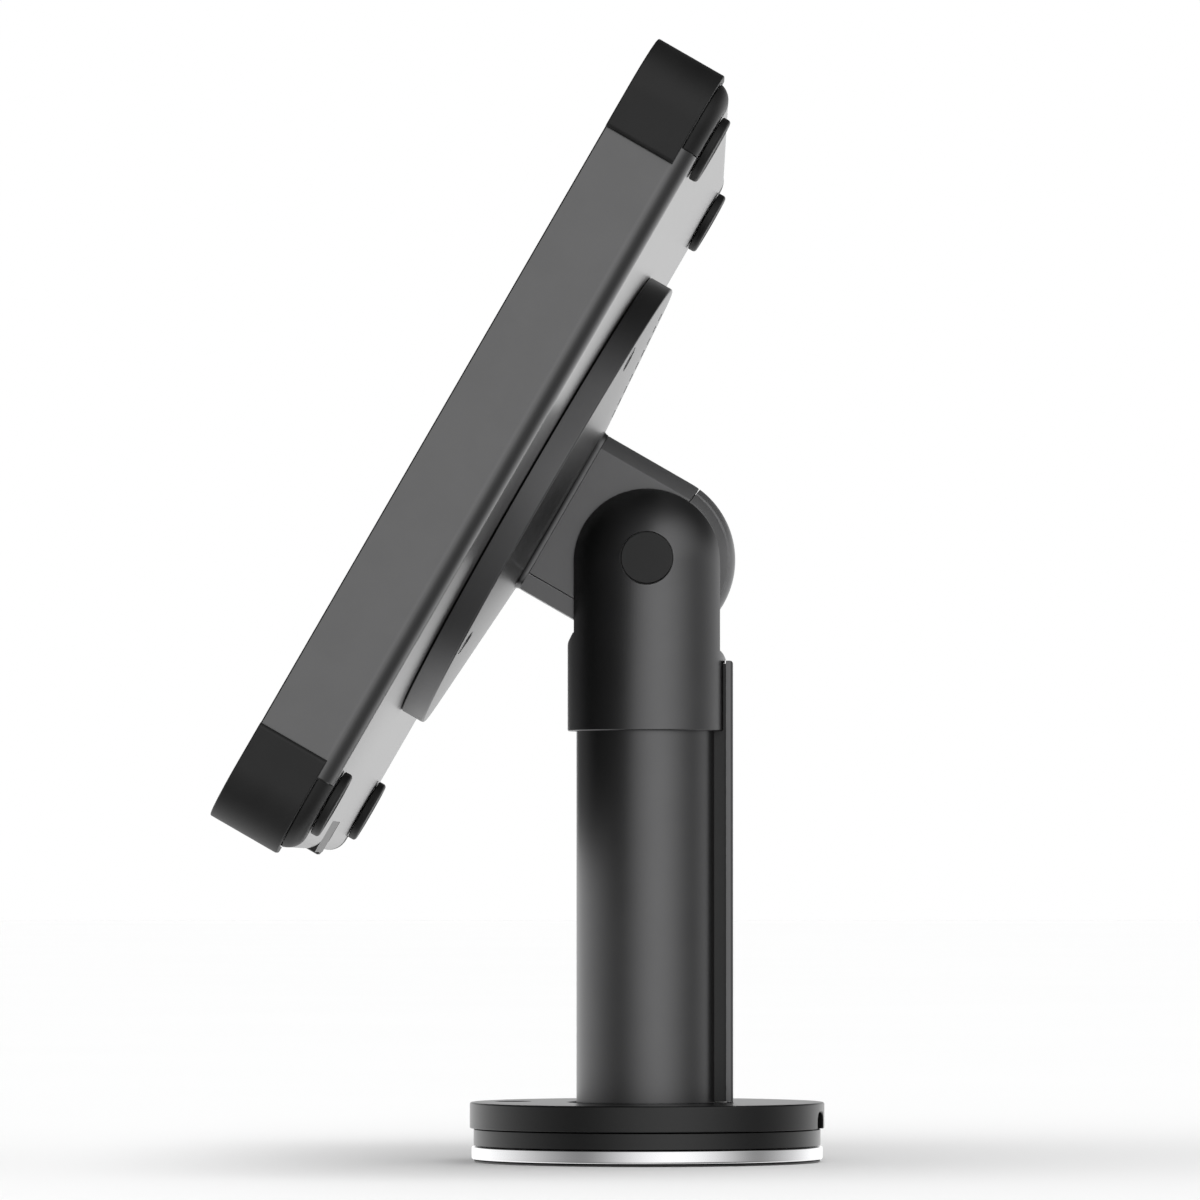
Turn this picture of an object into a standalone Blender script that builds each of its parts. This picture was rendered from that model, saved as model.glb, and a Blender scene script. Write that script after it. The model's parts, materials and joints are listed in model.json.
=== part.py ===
"""Counter-top payment terminal: a landscape touch terminal on a tilting, swivelling pole.

Metres, +Z up. The origin is on the pole's axis, on the underside of the base.
-X is the customer's side, +X the rear, and the terminal is wide along Y.
"""
import bpy
import bmesh
from math import acos, cos, degrees, pi, radians, sin, sqrt
from mathutils import Matrix, Vector

GAP = 0.0003                    # clearance left between two pieces that touch

BASE_SIDES = 48                 # sides of the round base pieces
POLE_SIDES = 48
FORK_SIDES = 36
DISC_SIDES = 56
FOOT_SIDES = 24
SCREW_SIDES = 12
CORNER_STEPS = 5                # steps round the terminal's corners
EDGE_STEPS = 5                  # and over its rear edge
NOTCH_STEPS = 4                 # round the corners of the cable notch
DOME_STEPS = 5                  # over the fork's dome
NECK_STEPS = 4                  # round the hollow between neck and disc
FOOT_STEPS = 2                  # round a rear foot's edge

# ---- base, from the counter upwards --------------------------------------------------------
PAD_IN = 0.0013                 # pad's edge, in from the cover's
PAD_THICK = 0.0006
PLATE_IN = 0.0006
PLATE_TOP = 0.0048
PLATE_BEVEL = 0.0003
RING_IN = 0.0012
RING_HEIGHT = 0.0051
COVER_RADIUS = 0.0550
COVER_HEIGHT = 0.0080
COVER_BEVEL = 0.0005
FLANGE_WIDTH = 0.0068           # pole foot's flange, held down by the cover
FLANGE_HEIGHT = 0.0041
WASHER_THICK = 0.0008
FOOT_WIDTH = 0.0028             # foot's rim round the pole
FOOT_SINK = 0.0006              # foot's top lies this far under the cover's top
SPIGOT_HEIGHT = 0.0190
NOTCH_TURN = -12.0              # degrees from the rear, the cable notch in the cover's rim
NOTCH_WIDTH = 0.0087
NOTCH_HEIGHT = 0.0051
NOTCH_RADIUS = 0.0030
FIXING_IN = 0.00055             # base's screws, in from midway between flange and rim
ACCESS_RADIUS = 0.0055
ACCESS_DEPTH = 0.0050
PLUG_THICK = 0.0008
PLUG_SINK = 0.0004
COVER_SCREW_HEAD = 0.0046
COVER_SCREW_SHANK = 0.0025
BASE_SCREW_HEAD = 0.0040
BASE_SCREW_SHANK = 0.0020
BASE_SCREW_LENGTH = 0.0120
BASE_SCREW_COUNT = 4

# ---- pole ----------------------------------------------------------------------------------
POLE_RADIUS = 0.0219
POLE_WALL = 0.0030
FLAT_DEPTH = 0.0011             # cut off the pole's rear
CHANNEL_DEPTH = 0.0031
CHANNEL_HALF = 0.0066
CHANNEL_WALL = 0.0016
STRIP_THICK = 0.0022
STRIP_HALF = 0.0076
STRIP_BEVEL = 0.0006
TIE_RADIUS = 0.0040
TIE_HEAD_RADIUS = 0.0080
TIE_HEAD_HEIGHT = 0.0050
TIE_THREAD = 0.0040             # length of the tie bolt inside the fork's web

# ---- fork head -----------------------------------------------------------------------------
PIVOT_HEIGHT = 0.1867
COLLAR_WALL = 0.00276           # fork's radius over the pole's
COLLAR_BEVEL = 0.0004
WEB = 0.00765                   # fork's floor, down to the pole's top
SOCKET_DEPTH = 0.0175           # from the pole's top down to the collar's lower edge
STRIP_RISE = 0.0218             # channel's cover ends this far over that edge
# Slot's floor towards the front and the rear: place over the fork's radius, and rise.
SLOT_FRONT = ((-0.0166, 0.0), (-0.0019, 0.0056), (0.0009, 0.0004))
SLOT_REAR = ((0.0011, -0.0046), (-0.0003, -0.0026), (-0.0013, -0.0010), (-0.0029, 0.0))
DOME_DROP = 0.0008              # dome's centre lies this far under the pivot
SLOT_CLEARANCE = 0.0006         # fork's floor to the turning knuckle
PIVOT_RADIUS = 0.0050
PIVOT_HEAD_RADIUS = 0.0076
PIVOT_HEAD_THICK = 0.0029
CAP_RADIUS = 0.0080
CAP_THICK = 0.0017
CAP_SINK = 0.0008               # cap's face under the fork's side
FRICTION_RADIUS = 0.0110

# ---- tilting knuckle and mounting disc, in the head's frame --------------------------------
# The head's frame has its origin on the pivot: +X to the rear along the terminal's normal,
# +Z up along the screen. LEAN turns it about Y.
LEAN = 30.0
KNUCKLE_HALF = 0.0083
KNUCKLE_RADIUS = 0.02745        # round end's radius and half of the slab's height
KNUCKLE_REACH = 0.00494          # knuckle's end, beyond the fork
NOTCH_ANGLE = 83.7              # where the knuckle's cover starts, degrees from +X
SHELL_COVER = 0.0020            # knuckle cover's thickness round the end
UNDER_COVER = 0.0053            # and along the underside
CROWN_FALL = 0.0049             # how far its round faces fall away towards the sides
CROWN_POWER = 1.8
CROWN_STEPS = 4
ROUND_STEPS = 16                # steps round the knuckle's end
DISC_RADIUS = 0.0776
DISC_DROP = 0.0009
DISC_REACH = 0.0130             # disc's front, beyond the knuckle's end
DISC_RIM = 0.0077
DISC_CONE = 0.0035
DISC_EDGE = 0.0005
NECK_OVER = 0.00355             # radius of the disc's flat middle, over the knuckle's
NECK_FLARE = 0.0016
NECK_ROUND = 0.0048
RIB_COUNT = 9
RIB_OFF = 0.0020                # first slot, beyond the flat middle
RIB_PITCH = 0.00415
RIB_WIDTH = 0.0025
RIB_LENGTH = 0.0060
RIB_DEPTH = 0.0006
HOLE_PATTERN = 0.1000           # square pattern of the screws that hold the terminal
DISC_SCREW_HEAD = 0.0038
DISC_SCREW_SHANK = 0.0019
DISC_SCREW_SEAT = 0.0057        # seat of the head, behind the disc's front face
DISC_SCREW_LENGTH = 0.0101
DISC_SCREW_HEIGHT = 0.0023
DISC_SCREW_KEY = 0.0013         # half of the hexagon's width across corners
DISC_SCREW_EDGE = 0.0003
NECK_SCREW_OFFSET = 0.0140
NECK_SCREW_HEAD = 0.0043
NECK_SCREW_SHANK = 0.0024
NECK_SCREW_LENGTH = 0.0240
NECK_SCREW_SEAT = 0.0043

# ---- terminal, in its own frame: the head's frame moved down by TERMINAL_DROP ---------------
TERMINAL_DROP = 0.0015
TERMINAL_WIDTH = 0.3552         # of the shell, without its bumpers
TERMINAL_HEIGHT = 0.2585
TERMINAL_DEPTH = 0.0275
CORNER_RADIUS = 0.0151
EDGE_RADIUS = 0.0060
FRONT_CHAMFER = 0.0004
SIDE_WALL = 0.0060
REAR_WALL = 0.0024
GLASS_RIM = 0.0014
GLASS_THICK = 0.0020
GLASS_SINK = 0.0001
BUMPER_PROUD = 0.0024
BUMPER_STEP = 0.0050            # bumper's rear edge, in front of the terminal's back
BUMPER_LENGTH = 0.0287
BUMPER_ROUND = 0.0010
GUARD_LENGTH = 0.0229
GUARD_THICK = 0.0010
GUARD_LIP = 0.0015
REAR_FOOT_RADIUS = 0.0104
REAR_FOOT_HEIGHT = 0.0027
REAR_FOOT_ROUND = 0.0010
REAR_FOOT_IN_Y = 0.0226         # centre of a foot, in from the shell's side
REAR_FOOT_IN_Z = 0.0180         # and in from its top or bottom
VENT_COUNT = 5
VENT_PITCH = 0.0065
VENT_WIDTH = 0.0026
VENT_LENGTH = 0.0120
VENT_IN_X = 0.0120              # slots' middle, behind the front edge
VENT_IN_Y = 0.0520              # group's middle, in from the side
PORT_HALF = 0.0300
PORT_DEPTH = 0.0092
PORT_HEIGHT = 0.0110
PORT_SINK = 0.0011

# ---- inside the terminal -------------------------------------------------------------------
PANEL_IN_Y = 0.0226             # panel's edge, in from the shell's side
PANEL_IN_Z = 0.01225            # and in from its top
PANEL_THICK = 0.0050
PANEL_SHIFT = -0.0140
MID_FRAME_THICK = 0.0015
MID_FRAME_IN = 0.0031           # mid frame's edge, in from the cavity's side
ANTENNA_HALF_Y = 0.0120
ANTENNA_HALF_Z = 0.0300
ANTENNA_BAND = 0.0040
ANTENNA_THICK = 0.0008
ANTENNA_IN = 0.0156
CAMERA_SIZE = (0.0040, 0.0080, 0.0042)
BOARD_THICK = 0.0016
BOARD_HEIGHT = 0.0900
BOARD_TO_BATTERY = 0.0100
BOARD_TO_READER = 0.0403
BOARD_OFF = 0.0042              # board, behind the mid frame
BATTERY_SIZE = (0.0070, 0.0750, 0.0800)
BATTERY_OFF = 0.0034
BATTERY_IN = 0.0216             # battery's edge, in from the cavity's side
READER_LENGTH = 0.0660
READER_HALF_Z = 0.0320
READER_THICK = 0.0068
READER_OFF = 0.0004
READER_STOP = 0.0066            # wall at the end of the card's path
CARD_HALF = 0.0275
CARD_SLOT = 0.0016
MOUTH_WALL = 0.0012
MOUTH_LIP = 0.0008
SPEAKER_SIZE = (0.0068, 0.0180, 0.0240)
BUTTON_HALF = 0.0060
BUTTON_WIDTH = 0.0034
BUTTON_PROUD = 0.0008
BUTTON_FLANGE = 0.0013
BUTTON_DEPTH = 0.0130           # centre of a button, behind the terminal's front
POWER_IN = 0.0576               # power key, in from the shell's side
KEY_PITCH = 0.0250

# ---- worked out from the sizes above -------------------------------------------------------
PAD_RADIUS = COVER_RADIUS - PAD_IN
PLATE_RADIUS = COVER_RADIUS - PLATE_IN
RING_RADIUS = COVER_RADIUS - RING_IN
FOOT_RADIUS = POLE_RADIUS + FOOT_WIDTH
FLANGE_RADIUS = FOOT_RADIUS + FLANGE_WIDTH
FIXING_PITCH = (COVER_RADIUS + FLANGE_RADIUS) / 2 - FIXING_IN
POLE_BORE = POLE_RADIUS - POLE_WALL
POLE_FLAT = POLE_RADIUS - FLAT_DEPTH
FORK_RADIUS = POLE_RADIUS + COLLAR_WALL
CAP_FACE = FORK_RADIUS - CAP_SINK
KNUCKLE_START = -FORK_RADIUS - KNUCKLE_REACH
DISC_FRONT = KNUCKLE_START - DISC_REACH
NECK_RADIUS = KNUCKLE_RADIUS + NECK_OVER
RING_BOTTOM = PLATE_TOP + GAP
RING_TOP = RING_BOTTOM + RING_HEIGHT
COVER_BOTTOM = RING_TOP + GAP
COVER_TOP = COVER_BOTTOM + COVER_HEIGHT
FLANGE_BOTTOM = RING_BOTTOM + WASHER_THICK + GAP
FLANGE_TOP = FLANGE_BOTTOM + FLANGE_HEIGHT
FOOT_TOP = COVER_TOP - FOOT_SINK
EAR_FACE = KNUCKLE_HALF + GAP + WASHER_THICK + GAP
SLOT_FLOOR = PIVOT_HEIGHT - KNUCKLE_RADIUS - SLOT_CLEARANCE
POLE_TOP = SLOT_FLOOR - WEB
COLLAR_BOTTOM = POLE_TOP - SOCKET_DEPTH
STRIP_TOP = COLLAR_BOTTOM + STRIP_RISE
CAP_BACK = CAP_FACE - CAP_THICK
DISC_BACK = DISC_FRONT + DISC_RIM
NECK_PLANE = DISC_BACK + DISC_CONE
BACK = DISC_FRONT - GAP
FRONT = BACK - TERMINAL_DEPTH
HALF_Y = TERMINAL_WIDTH / 2
HALF_Z = TERMINAL_HEIGHT / 2
CAVITY_FRONT = FRONT + GLASS_SINK + GLASS_THICK + GAP
CAVITY_BACK = BACK - REAR_WALL
CAVITY_Y = HALF_Y - SIDE_WALL
CAVITY_Z = HALF_Z - SIDE_WALL
FRAME_FRONT = CAVITY_FRONT + PANEL_THICK + GAP
FRAME_BACK = FRAME_FRONT + MID_FRAME_THICK
READER_X = FRAME_BACK + READER_OFF + READER_THICK / 2
BUMPER_BACK = BACK - BUMPER_STEP
PANEL_HALF_Y = HALF_Y - PANEL_IN_Y
PANEL_HALF_Z = HALF_Z - PANEL_IN_Z
BATTERY_EDGE = BATTERY_IN + BATTERY_SIZE[1] - CAVITY_Y
READER_EDGE = CAVITY_Y - GAP - READER_LENGTH
POWER_SHIFT = HALF_Y - POWER_IN
VOLUME_SHIFT = POWER_SHIFT - KEY_PITCH

CORNERS = {"upper_left": (1, 1), "upper_right": (-1, 1),
           "lower_left": (1, -1), "lower_right": (-1, -1)}


# ---- shape helpers -------------------------------------------------------------------------
def clear_scene():
    for old in list(bpy.data.objects):
        bpy.data.objects.remove(old, do_unlink=True)


def finish(name, color, roughness, metallic=0.0):
    mat = bpy.data.materials.new(name)
    mat.use_nodes = True
    shader = mat.node_tree.nodes["Principled BSDF"]
    shader.inputs["Base Color"].default_value = (*color, 1.0)
    shader.inputs["Roughness"].default_value = roughness
    shader.inputs["Metallic"].default_value = metallic
    mat.diffuse_color = (*color, 1.0)
    return mat


def empty(name, location=(0, 0, 0), turn=(0, 0, 0), parent=None):
    axis = bpy.data.objects.new(name, None)
    axis.location = location
    axis.rotation_euler = turn
    axis.parent = parent
    bpy.context.collection.objects.link(axis)
    return axis


def solid(name, bm, mat=None, parent=None, location=(0, 0, 0)):
    """Turn a bmesh into an object with outward faces and smooth round sides."""
    bmesh.ops.recalc_face_normals(bm, faces=bm.faces)
    mesh = bpy.data.meshes.new(name)
    bm.to_mesh(mesh)
    bm.free()
    mesh.shade_smooth()
    mesh.set_sharp_from_angle(angle=radians(32))
    if mat:
        mesh.materials.append(mat)
    piece = bpy.data.objects.new(name, mesh)
    piece.location = location
    piece.parent = parent
    bpy.context.collection.objects.link(piece)
    return piece


def combine(piece, tool, operation="DIFFERENCE"):
    """Cut the piece with a tool, or join the tool to it, and hide the tool."""
    tool.hide_render = True
    tool.display_type = "WIRE"
    change = piece.modifiers.new(tool.name, "BOOLEAN")
    change.operation = operation
    change.solver = "EXACT"
    change.object = tool


def loft(rings, closed=False, split=False):
    """Skin rings of equally many points; a closed loft joins the last ring to the first.

    Split faces are cut along the same diagonal, so that two twisted skins stay parallel.
    """
    bm = bmesh.new()
    rows = [[bm.verts.new(p) for p in ring] for ring in rings]
    size = len(rings[0])
    pairs = list(zip(rows, rows[1:]))
    if closed:
        pairs.append((rows[-1], rows[0]))
    else:
        bm.faces.new(rows[0])
        bm.faces.new(rows[-1])
    for low, high in pairs:
        for i in range(size):
            j = (i + 1) % size
            if split:
                bm.faces.new((low[i], low[j], high[j]))
                bm.faces.new((low[i], high[j], high[i]))
            else:
                bm.faces.new((low[i], low[j], high[j], high[i]))
    return bm


def along(axis, across, height, angle):
    """A point on a circle round X, Y or Z."""
    a, b = across * cos(angle), across * sin(angle)
    return {"X": (height, a, b), "Y": (b, height, a), "Z": (a, b, height)}[axis]


def turned(profile, count, axis="Z", centre=(0, 0, 0), bored=False):
    """A turned solid: (radius, height) points, ends on the axis unless it is bored."""
    bm = bmesh.new()
    rows = []
    for radius, height in profile:
        steps = count if radius > 0 else 1
        rows.append([bm.verts.new(Vector(along(axis, radius, height, 2 * pi * i / count))
                                  + Vector(centre)) for i in range(steps)])
    pairs = list(zip(rows, rows[1:]))
    if bored:
        pairs.append((rows[-1], rows[0]))
    for low, high in pairs:
        for i in range(count):
            j = (i + 1) % count
            corner = [low[i % len(low)], low[j % len(low)], high[j % len(high)], high[i % len(high)]]
            face = list(dict.fromkeys(corner))
            if len(face) > 2:
                bm.faces.new(face)
    if rows[0][0] is not rows[-1][0] and not bored:
        for row in (rows[0], rows[-1]):
            if len(row) > 1:
                bm.faces.new(row)
    return bm


def rod(radius, low, high, axis="Z", centre=(0, 0, 0), count=20):
    return turned([(radius, low), (radius, high)], count, axis, centre)


def washer(inner, outer, low, high, axis="Z", count=24):
    return turned([(inner, low), (outer, low), (outer, high), (inner, high)], count, axis,
                  bored=True)


def block(low, high, bevel=0.0, segments=2):
    """A box between two corners, its edges rounded when a bevel is given."""
    bm = bmesh.new()
    bmesh.ops.create_cube(bm, size=1.0)
    size = Vector(high) - Vector(low)
    middle = (Vector(high) + Vector(low)) / 2
    bmesh.ops.transform(bm, matrix=Matrix.Translation(middle) @ Matrix.Diagonal((*size, 1.0)),
                        verts=bm.verts)
    if bevel:
        bmesh.ops.bevel(bm, geom=bm.edges[:], offset=bevel, segments=segments, profile=0.5,
                        affect="EDGES")
    return bm


def rounded_box(half_a, half_b, radius, steps):
    """The outline of a rectangle with round corners, anticlockwise."""
    points = []
    for k, (sa, sb) in enumerate(((1, 1), (-1, 1), (-1, -1), (1, -1))):
        for i in range(steps + 1):
            angle = pi / 2 * (k + i / steps)
            points.append((sa * (half_a - radius) + radius * cos(angle),
                           sb * (half_b - radius) + radius * sin(angle)))
    return points


def slab(outline, low, high, axis):
    """An outline drawn across an axis, extruded between two places along it."""
    order = {"X": lambda a, b, h: (h, a, b), "Y": lambda a, b, h: (b, h, a),
             "Z": lambda a, b, h: (a, b, h)}[axis]
    return loft([[order(a, b, h) for a, b in outline] for h in (low, high)])


def add_to(bm, other):
    """Move another bmesh's faces into this one; the two don't touch."""
    mesh = bpy.data.meshes.new("scrap")
    other.to_mesh(mesh)
    other.free()
    bm.from_mesh(mesh)
    bpy.data.meshes.remove(mesh)
    return bm


def spot(radius, angle):
    """A place on the base, by radius and degrees from the rear."""
    return (radius * cos(radians(angle)), radius * sin(radians(angle)), 0)


# ---- base ----------------------------------------------------------------------------------
def base_screw_angles():
    first = NOTCH_TURN + 180 / BASE_SCREW_COUNT
    return [first + 360 / BASE_SCREW_COUNT * i for i in range(BASE_SCREW_COUNT)]


def make_base(paint, steel, rubber, nylon, bolt):
    solid("counter_pad", turned([(0, 0), (PAD_RADIUS, 0), (PAD_RADIUS, PAD_THICK), (0, PAD_THICK)],
                                40), rubber)
    under = PAD_THICK + GAP
    edge = PLATE_BEVEL
    plate = solid("base_plate", turned(
        [(0, under), (PLATE_RADIUS - edge, under), (PLATE_RADIUS, under + edge),
         (PLATE_RADIUS, PLATE_TOP - edge), (PLATE_RADIUS - edge, PLATE_TOP), (0, PLATE_TOP)],
        BASE_SIDES), steel)
    ring = solid("base_ring", washer(FLANGE_RADIUS + 2 * GAP, RING_RADIUS, RING_BOTTOM, RING_TOP,
                                     count=BASE_SIDES), paint)
    cover = make_top_cover(paint)
    washer_top = COVER_BOTTOM + WASHER_THICK / 2
    solid("swivel_washer", washer(TIE_HEAD_RADIUS + 2 * GAP, FLANGE_RADIUS - GAP, RING_BOTTOM,
                                  RING_BOTTOM + WASHER_THICK), nylon)
    solid("hold_washer", washer(FOOT_RADIUS + 2 * GAP, FLANGE_RADIUS - GAP, FLANGE_TOP + GAP,
                                washer_top), nylon)
    make_base_screws(plate, ring, cover, bolt)
    make_cover_screw(ring, cover, bolt, rubber)


def make_top_cover(paint):
    edge = COVER_BEVEL
    bore = FOOT_RADIUS + GAP
    recess = COVER_BOTTOM + WASHER_THICK / 2 + GAP
    wide = FLANGE_RADIUS + GAP
    cover = solid("top_cover", turned(
        [(wide, COVER_BOTTOM), (COVER_RADIUS - edge, COVER_BOTTOM),
         (COVER_RADIUS, COVER_BOTTOM + edge), (COVER_RADIUS, COVER_TOP - edge),
         (COVER_RADIUS - edge, COVER_TOP), (bore, COVER_TOP), (bore, recess), (wide, recess)],
        BASE_SIDES, bored=True), paint)
    half = NOTCH_WIDTH / 2
    r = NOTCH_RADIUS
    arch = [(-half, COVER_BOTTOM - 2 * GAP), (half, COVER_BOTTOM - 2 * GAP)]
    top = COVER_BOTTOM + NOTCH_HEIGHT - r
    turns = [pi / 2 * i / NOTCH_STEPS for i in range(NOTCH_STEPS + 1)]
    arch += [(half - r + r * cos(t), top + r * sin(t)) for t in turns]
    arch += [(r - half - r * sin(t), top + r * cos(t)) for t in turns]
    reach = COVER_RADIUS + NOTCH_WIDTH
    tunnel = solid("cable_tunnel", loft([[(x, y, z) for y, z in arch]
                                         for x in (FOOT_RADIUS - NOTCH_RADIUS, reach)]))
    tunnel.rotation_euler = (0, 0, radians(NOTCH_TURN))
    combine(cover, tunnel)
    return cover


def make_base_screws(plate, ring, cover, bolt):
    """Countersunk screws from below, through the plate and the ring into the cover."""
    start = PAD_THICK + 2 * GAP
    cone = BASE_SCREW_HEAD - BASE_SCREW_SHANK
    for n, angle in enumerate(base_screw_angles(), 1):
        place = spot(FIXING_PITCH, angle)
        profile = [(0, start), (BASE_SCREW_HEAD, start), (BASE_SCREW_SHANK, start + cone),
                   (BASE_SCREW_SHANK, start + BASE_SCREW_LENGTH), (0, start + BASE_SCREW_LENGTH)]
        solid(f"base_screw_{n}", turned(profile, SCREW_SIDES), bolt, location=place)
        wide, slim = BASE_SCREW_HEAD + GAP, BASE_SCREW_SHANK + GAP
        hole = solid(f"base_screw_hole_{n}", turned(
            [(0, PAD_THICK), (wide, PAD_THICK), (wide, start), (slim, start + cone),
             (slim, start + BASE_SCREW_LENGTH + GAP), (0, start + BASE_SCREW_LENGTH + GAP)],
            SCREW_SIDES),
            location=place)
        for piece in (plate, ring, cover):
            combine(piece, hole)


def make_cover_screw(ring, cover, bolt, rubber):
    """One screw from above holds the cover to the ring, under a plug."""
    place = spot(FIXING_PITCH, NOTCH_TURN + 180)
    seat = COVER_TOP - ACCESS_DEPTH
    plug_top = COVER_TOP - PLUG_SINK
    head_top = plug_top - PLUG_THICK - GAP
    tip = RING_BOTTOM + 2 * GAP
    solid("cover_screw", turned(
        [(0, tip), (COVER_SCREW_SHANK, tip), (COVER_SCREW_SHANK, seat + GAP),
         (COVER_SCREW_HEAD, seat + GAP), (COVER_SCREW_HEAD, head_top), (0, head_top)], 20),
        bolt, location=place)
    solid("access_plug", rod(ACCESS_RADIUS - GAP, plug_top - PLUG_THICK, plug_top), rubber,
          location=place)
    hole = solid("cover_screw_hole", turned(
        [(0, tip - GAP), (COVER_SCREW_SHANK + GAP, tip - GAP), (COVER_SCREW_SHANK + GAP, seat),
         (ACCESS_RADIUS, seat), (ACCESS_RADIUS, COVER_TOP + GAP), (0, COVER_TOP + GAP)], SCREW_SIDES * 2),
        location=place)
    combine(ring, hole)
    combine(cover, hole)


# ---- pole ----------------------------------------------------------------------------------
def make_pole_foot(alloy, bolt, axis):
    head_room = TIE_HEAD_RADIUS + GAP
    head_top = FLANGE_BOTTOM + TIE_HEAD_HEIGHT + GAP
    bore = TIE_RADIUS + GAP
    spigot = POLE_BORE - GAP
    top = FOOT_TOP + SPIGOT_HEIGHT
    foot = solid("pole_foot", turned(
        [(head_room, FLANGE_BOTTOM), (FLANGE_RADIUS, FLANGE_BOTTOM), (FLANGE_RADIUS, FLANGE_TOP),
         (FOOT_RADIUS, FLANGE_TOP), (FOOT_RADIUS, FOOT_TOP), (spigot, FOOT_TOP), (spigot, top),
         (bore, top), (bore, head_top), (head_room, head_top)], 32, bored=True), alloy, axis)
    half = CHANNEL_HALF - CHANNEL_WALL
    slot = solid("foot_cable_slot", block(
        (POLE_FLAT + CHANNEL_WALL, -half, FLANGE_TOP + 2 * GAP + WASHER_THICK),
        (FOOT_RADIUS + 2 * GAP, half, FOOT_TOP + 2 * GAP)), parent=axis)
    combine(foot, slot)
    tip = POLE_TOP + GAP + TIE_THREAD
    solid("tie_bolt", turned(
        [(0, FLANGE_BOTTOM), (TIE_HEAD_RADIUS, FLANGE_BOTTOM),
         (TIE_HEAD_RADIUS, FLANGE_BOTTOM + TIE_HEAD_HEIGHT),
         (TIE_RADIUS, FLANGE_BOTTOM + TIE_HEAD_HEIGHT), (TIE_RADIUS, tip), (0, tip)], 18),
        bolt, axis)


def pole_ring(radius, height, count, flat=None):
    points = []
    for i in range(count):
        angle = 2 * pi * i / count
        reach = radius
        if flat and radius * cos(angle) > flat:
            reach = flat / cos(angle)
        points.append((reach * cos(angle), reach * sin(angle), height))
    return points


def make_pole(paint, dark, axis):
    low = FOOT_TOP + GAP
    count = POLE_SIDES
    solid("pole_tube", loft([pole_ring(POLE_RADIUS, low, count, POLE_FLAT),
                             pole_ring(POLE_RADIUS, POLE_TOP, count, POLE_FLAT),
                             pole_ring(POLE_BORE, POLE_TOP, count),
                             pole_ring(POLE_BORE, low, count)], closed=True), paint, axis)
    near = POLE_FLAT + GAP
    far = near + CHANNEL_DEPTH
    half, inner = CHANNEL_HALF, CHANNEL_HALF - CHANNEL_WALL
    bed = near + CHANNEL_WALL / 2
    section = [(near, -half), (far, -half), (far, -inner), (bed, -inner), (bed, inner),
               (far, inner), (far, half), (near, half)]
    foot = COVER_TOP + GAP
    solid("cable_channel", slab(section, foot, STRIP_TOP - 3 * GAP, "Z"), dark, axis)
    cut = STRIP_BEVEL
    back = far + GAP + STRIP_THICK
    section = [(far + GAP, -STRIP_HALF), (back - cut, -STRIP_HALF), (back, cut - STRIP_HALF),
               (back, STRIP_HALF - cut), (back - cut, STRIP_HALF), (far + GAP, STRIP_HALF)]
    solid("channel_cover", slab(section, foot, STRIP_TOP, "Z"), paint, axis)


# ---- fork head -----------------------------------------------------------------------------
def fork_ring(radius, height):
    return [(radius * cos(2 * pi * i / FORK_SIDES), radius * sin(2 * pi * i / FORK_SIDES), height)
            for i in range(FORK_SIDES)]


def fork_body():
    low = COLLAR_BOTTOM
    rings = [fork_ring(FORK_RADIUS - COLLAR_BEVEL, low),
             fork_ring(FORK_RADIUS, low + COLLAR_BEVEL)]
    centre = PIVOT_HEIGHT - DOME_DROP
    for i in range(DOME_STEPS):
        angle = pi / 2 * i / DOME_STEPS
        height = centre + FORK_RADIUS * sin(angle)
        rings.append(fork_ring(FORK_RADIUS * cos(angle), height))
    bm = loft(rings)
    tip = bm.verts.new((0, 0, centre + FORK_RADIUS))
    bm.verts.ensure_lookup_table()
    last = [f for f in bm.faces if len(f.verts) == FORK_SIDES and
            min(v.co.z for v in f.verts) > centre]
    edges = list(last[0].edges)
    bm.faces.remove(last[0])
    for edge in edges:
        bm.faces.new((*edge.verts, tip))
    return bm


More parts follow.
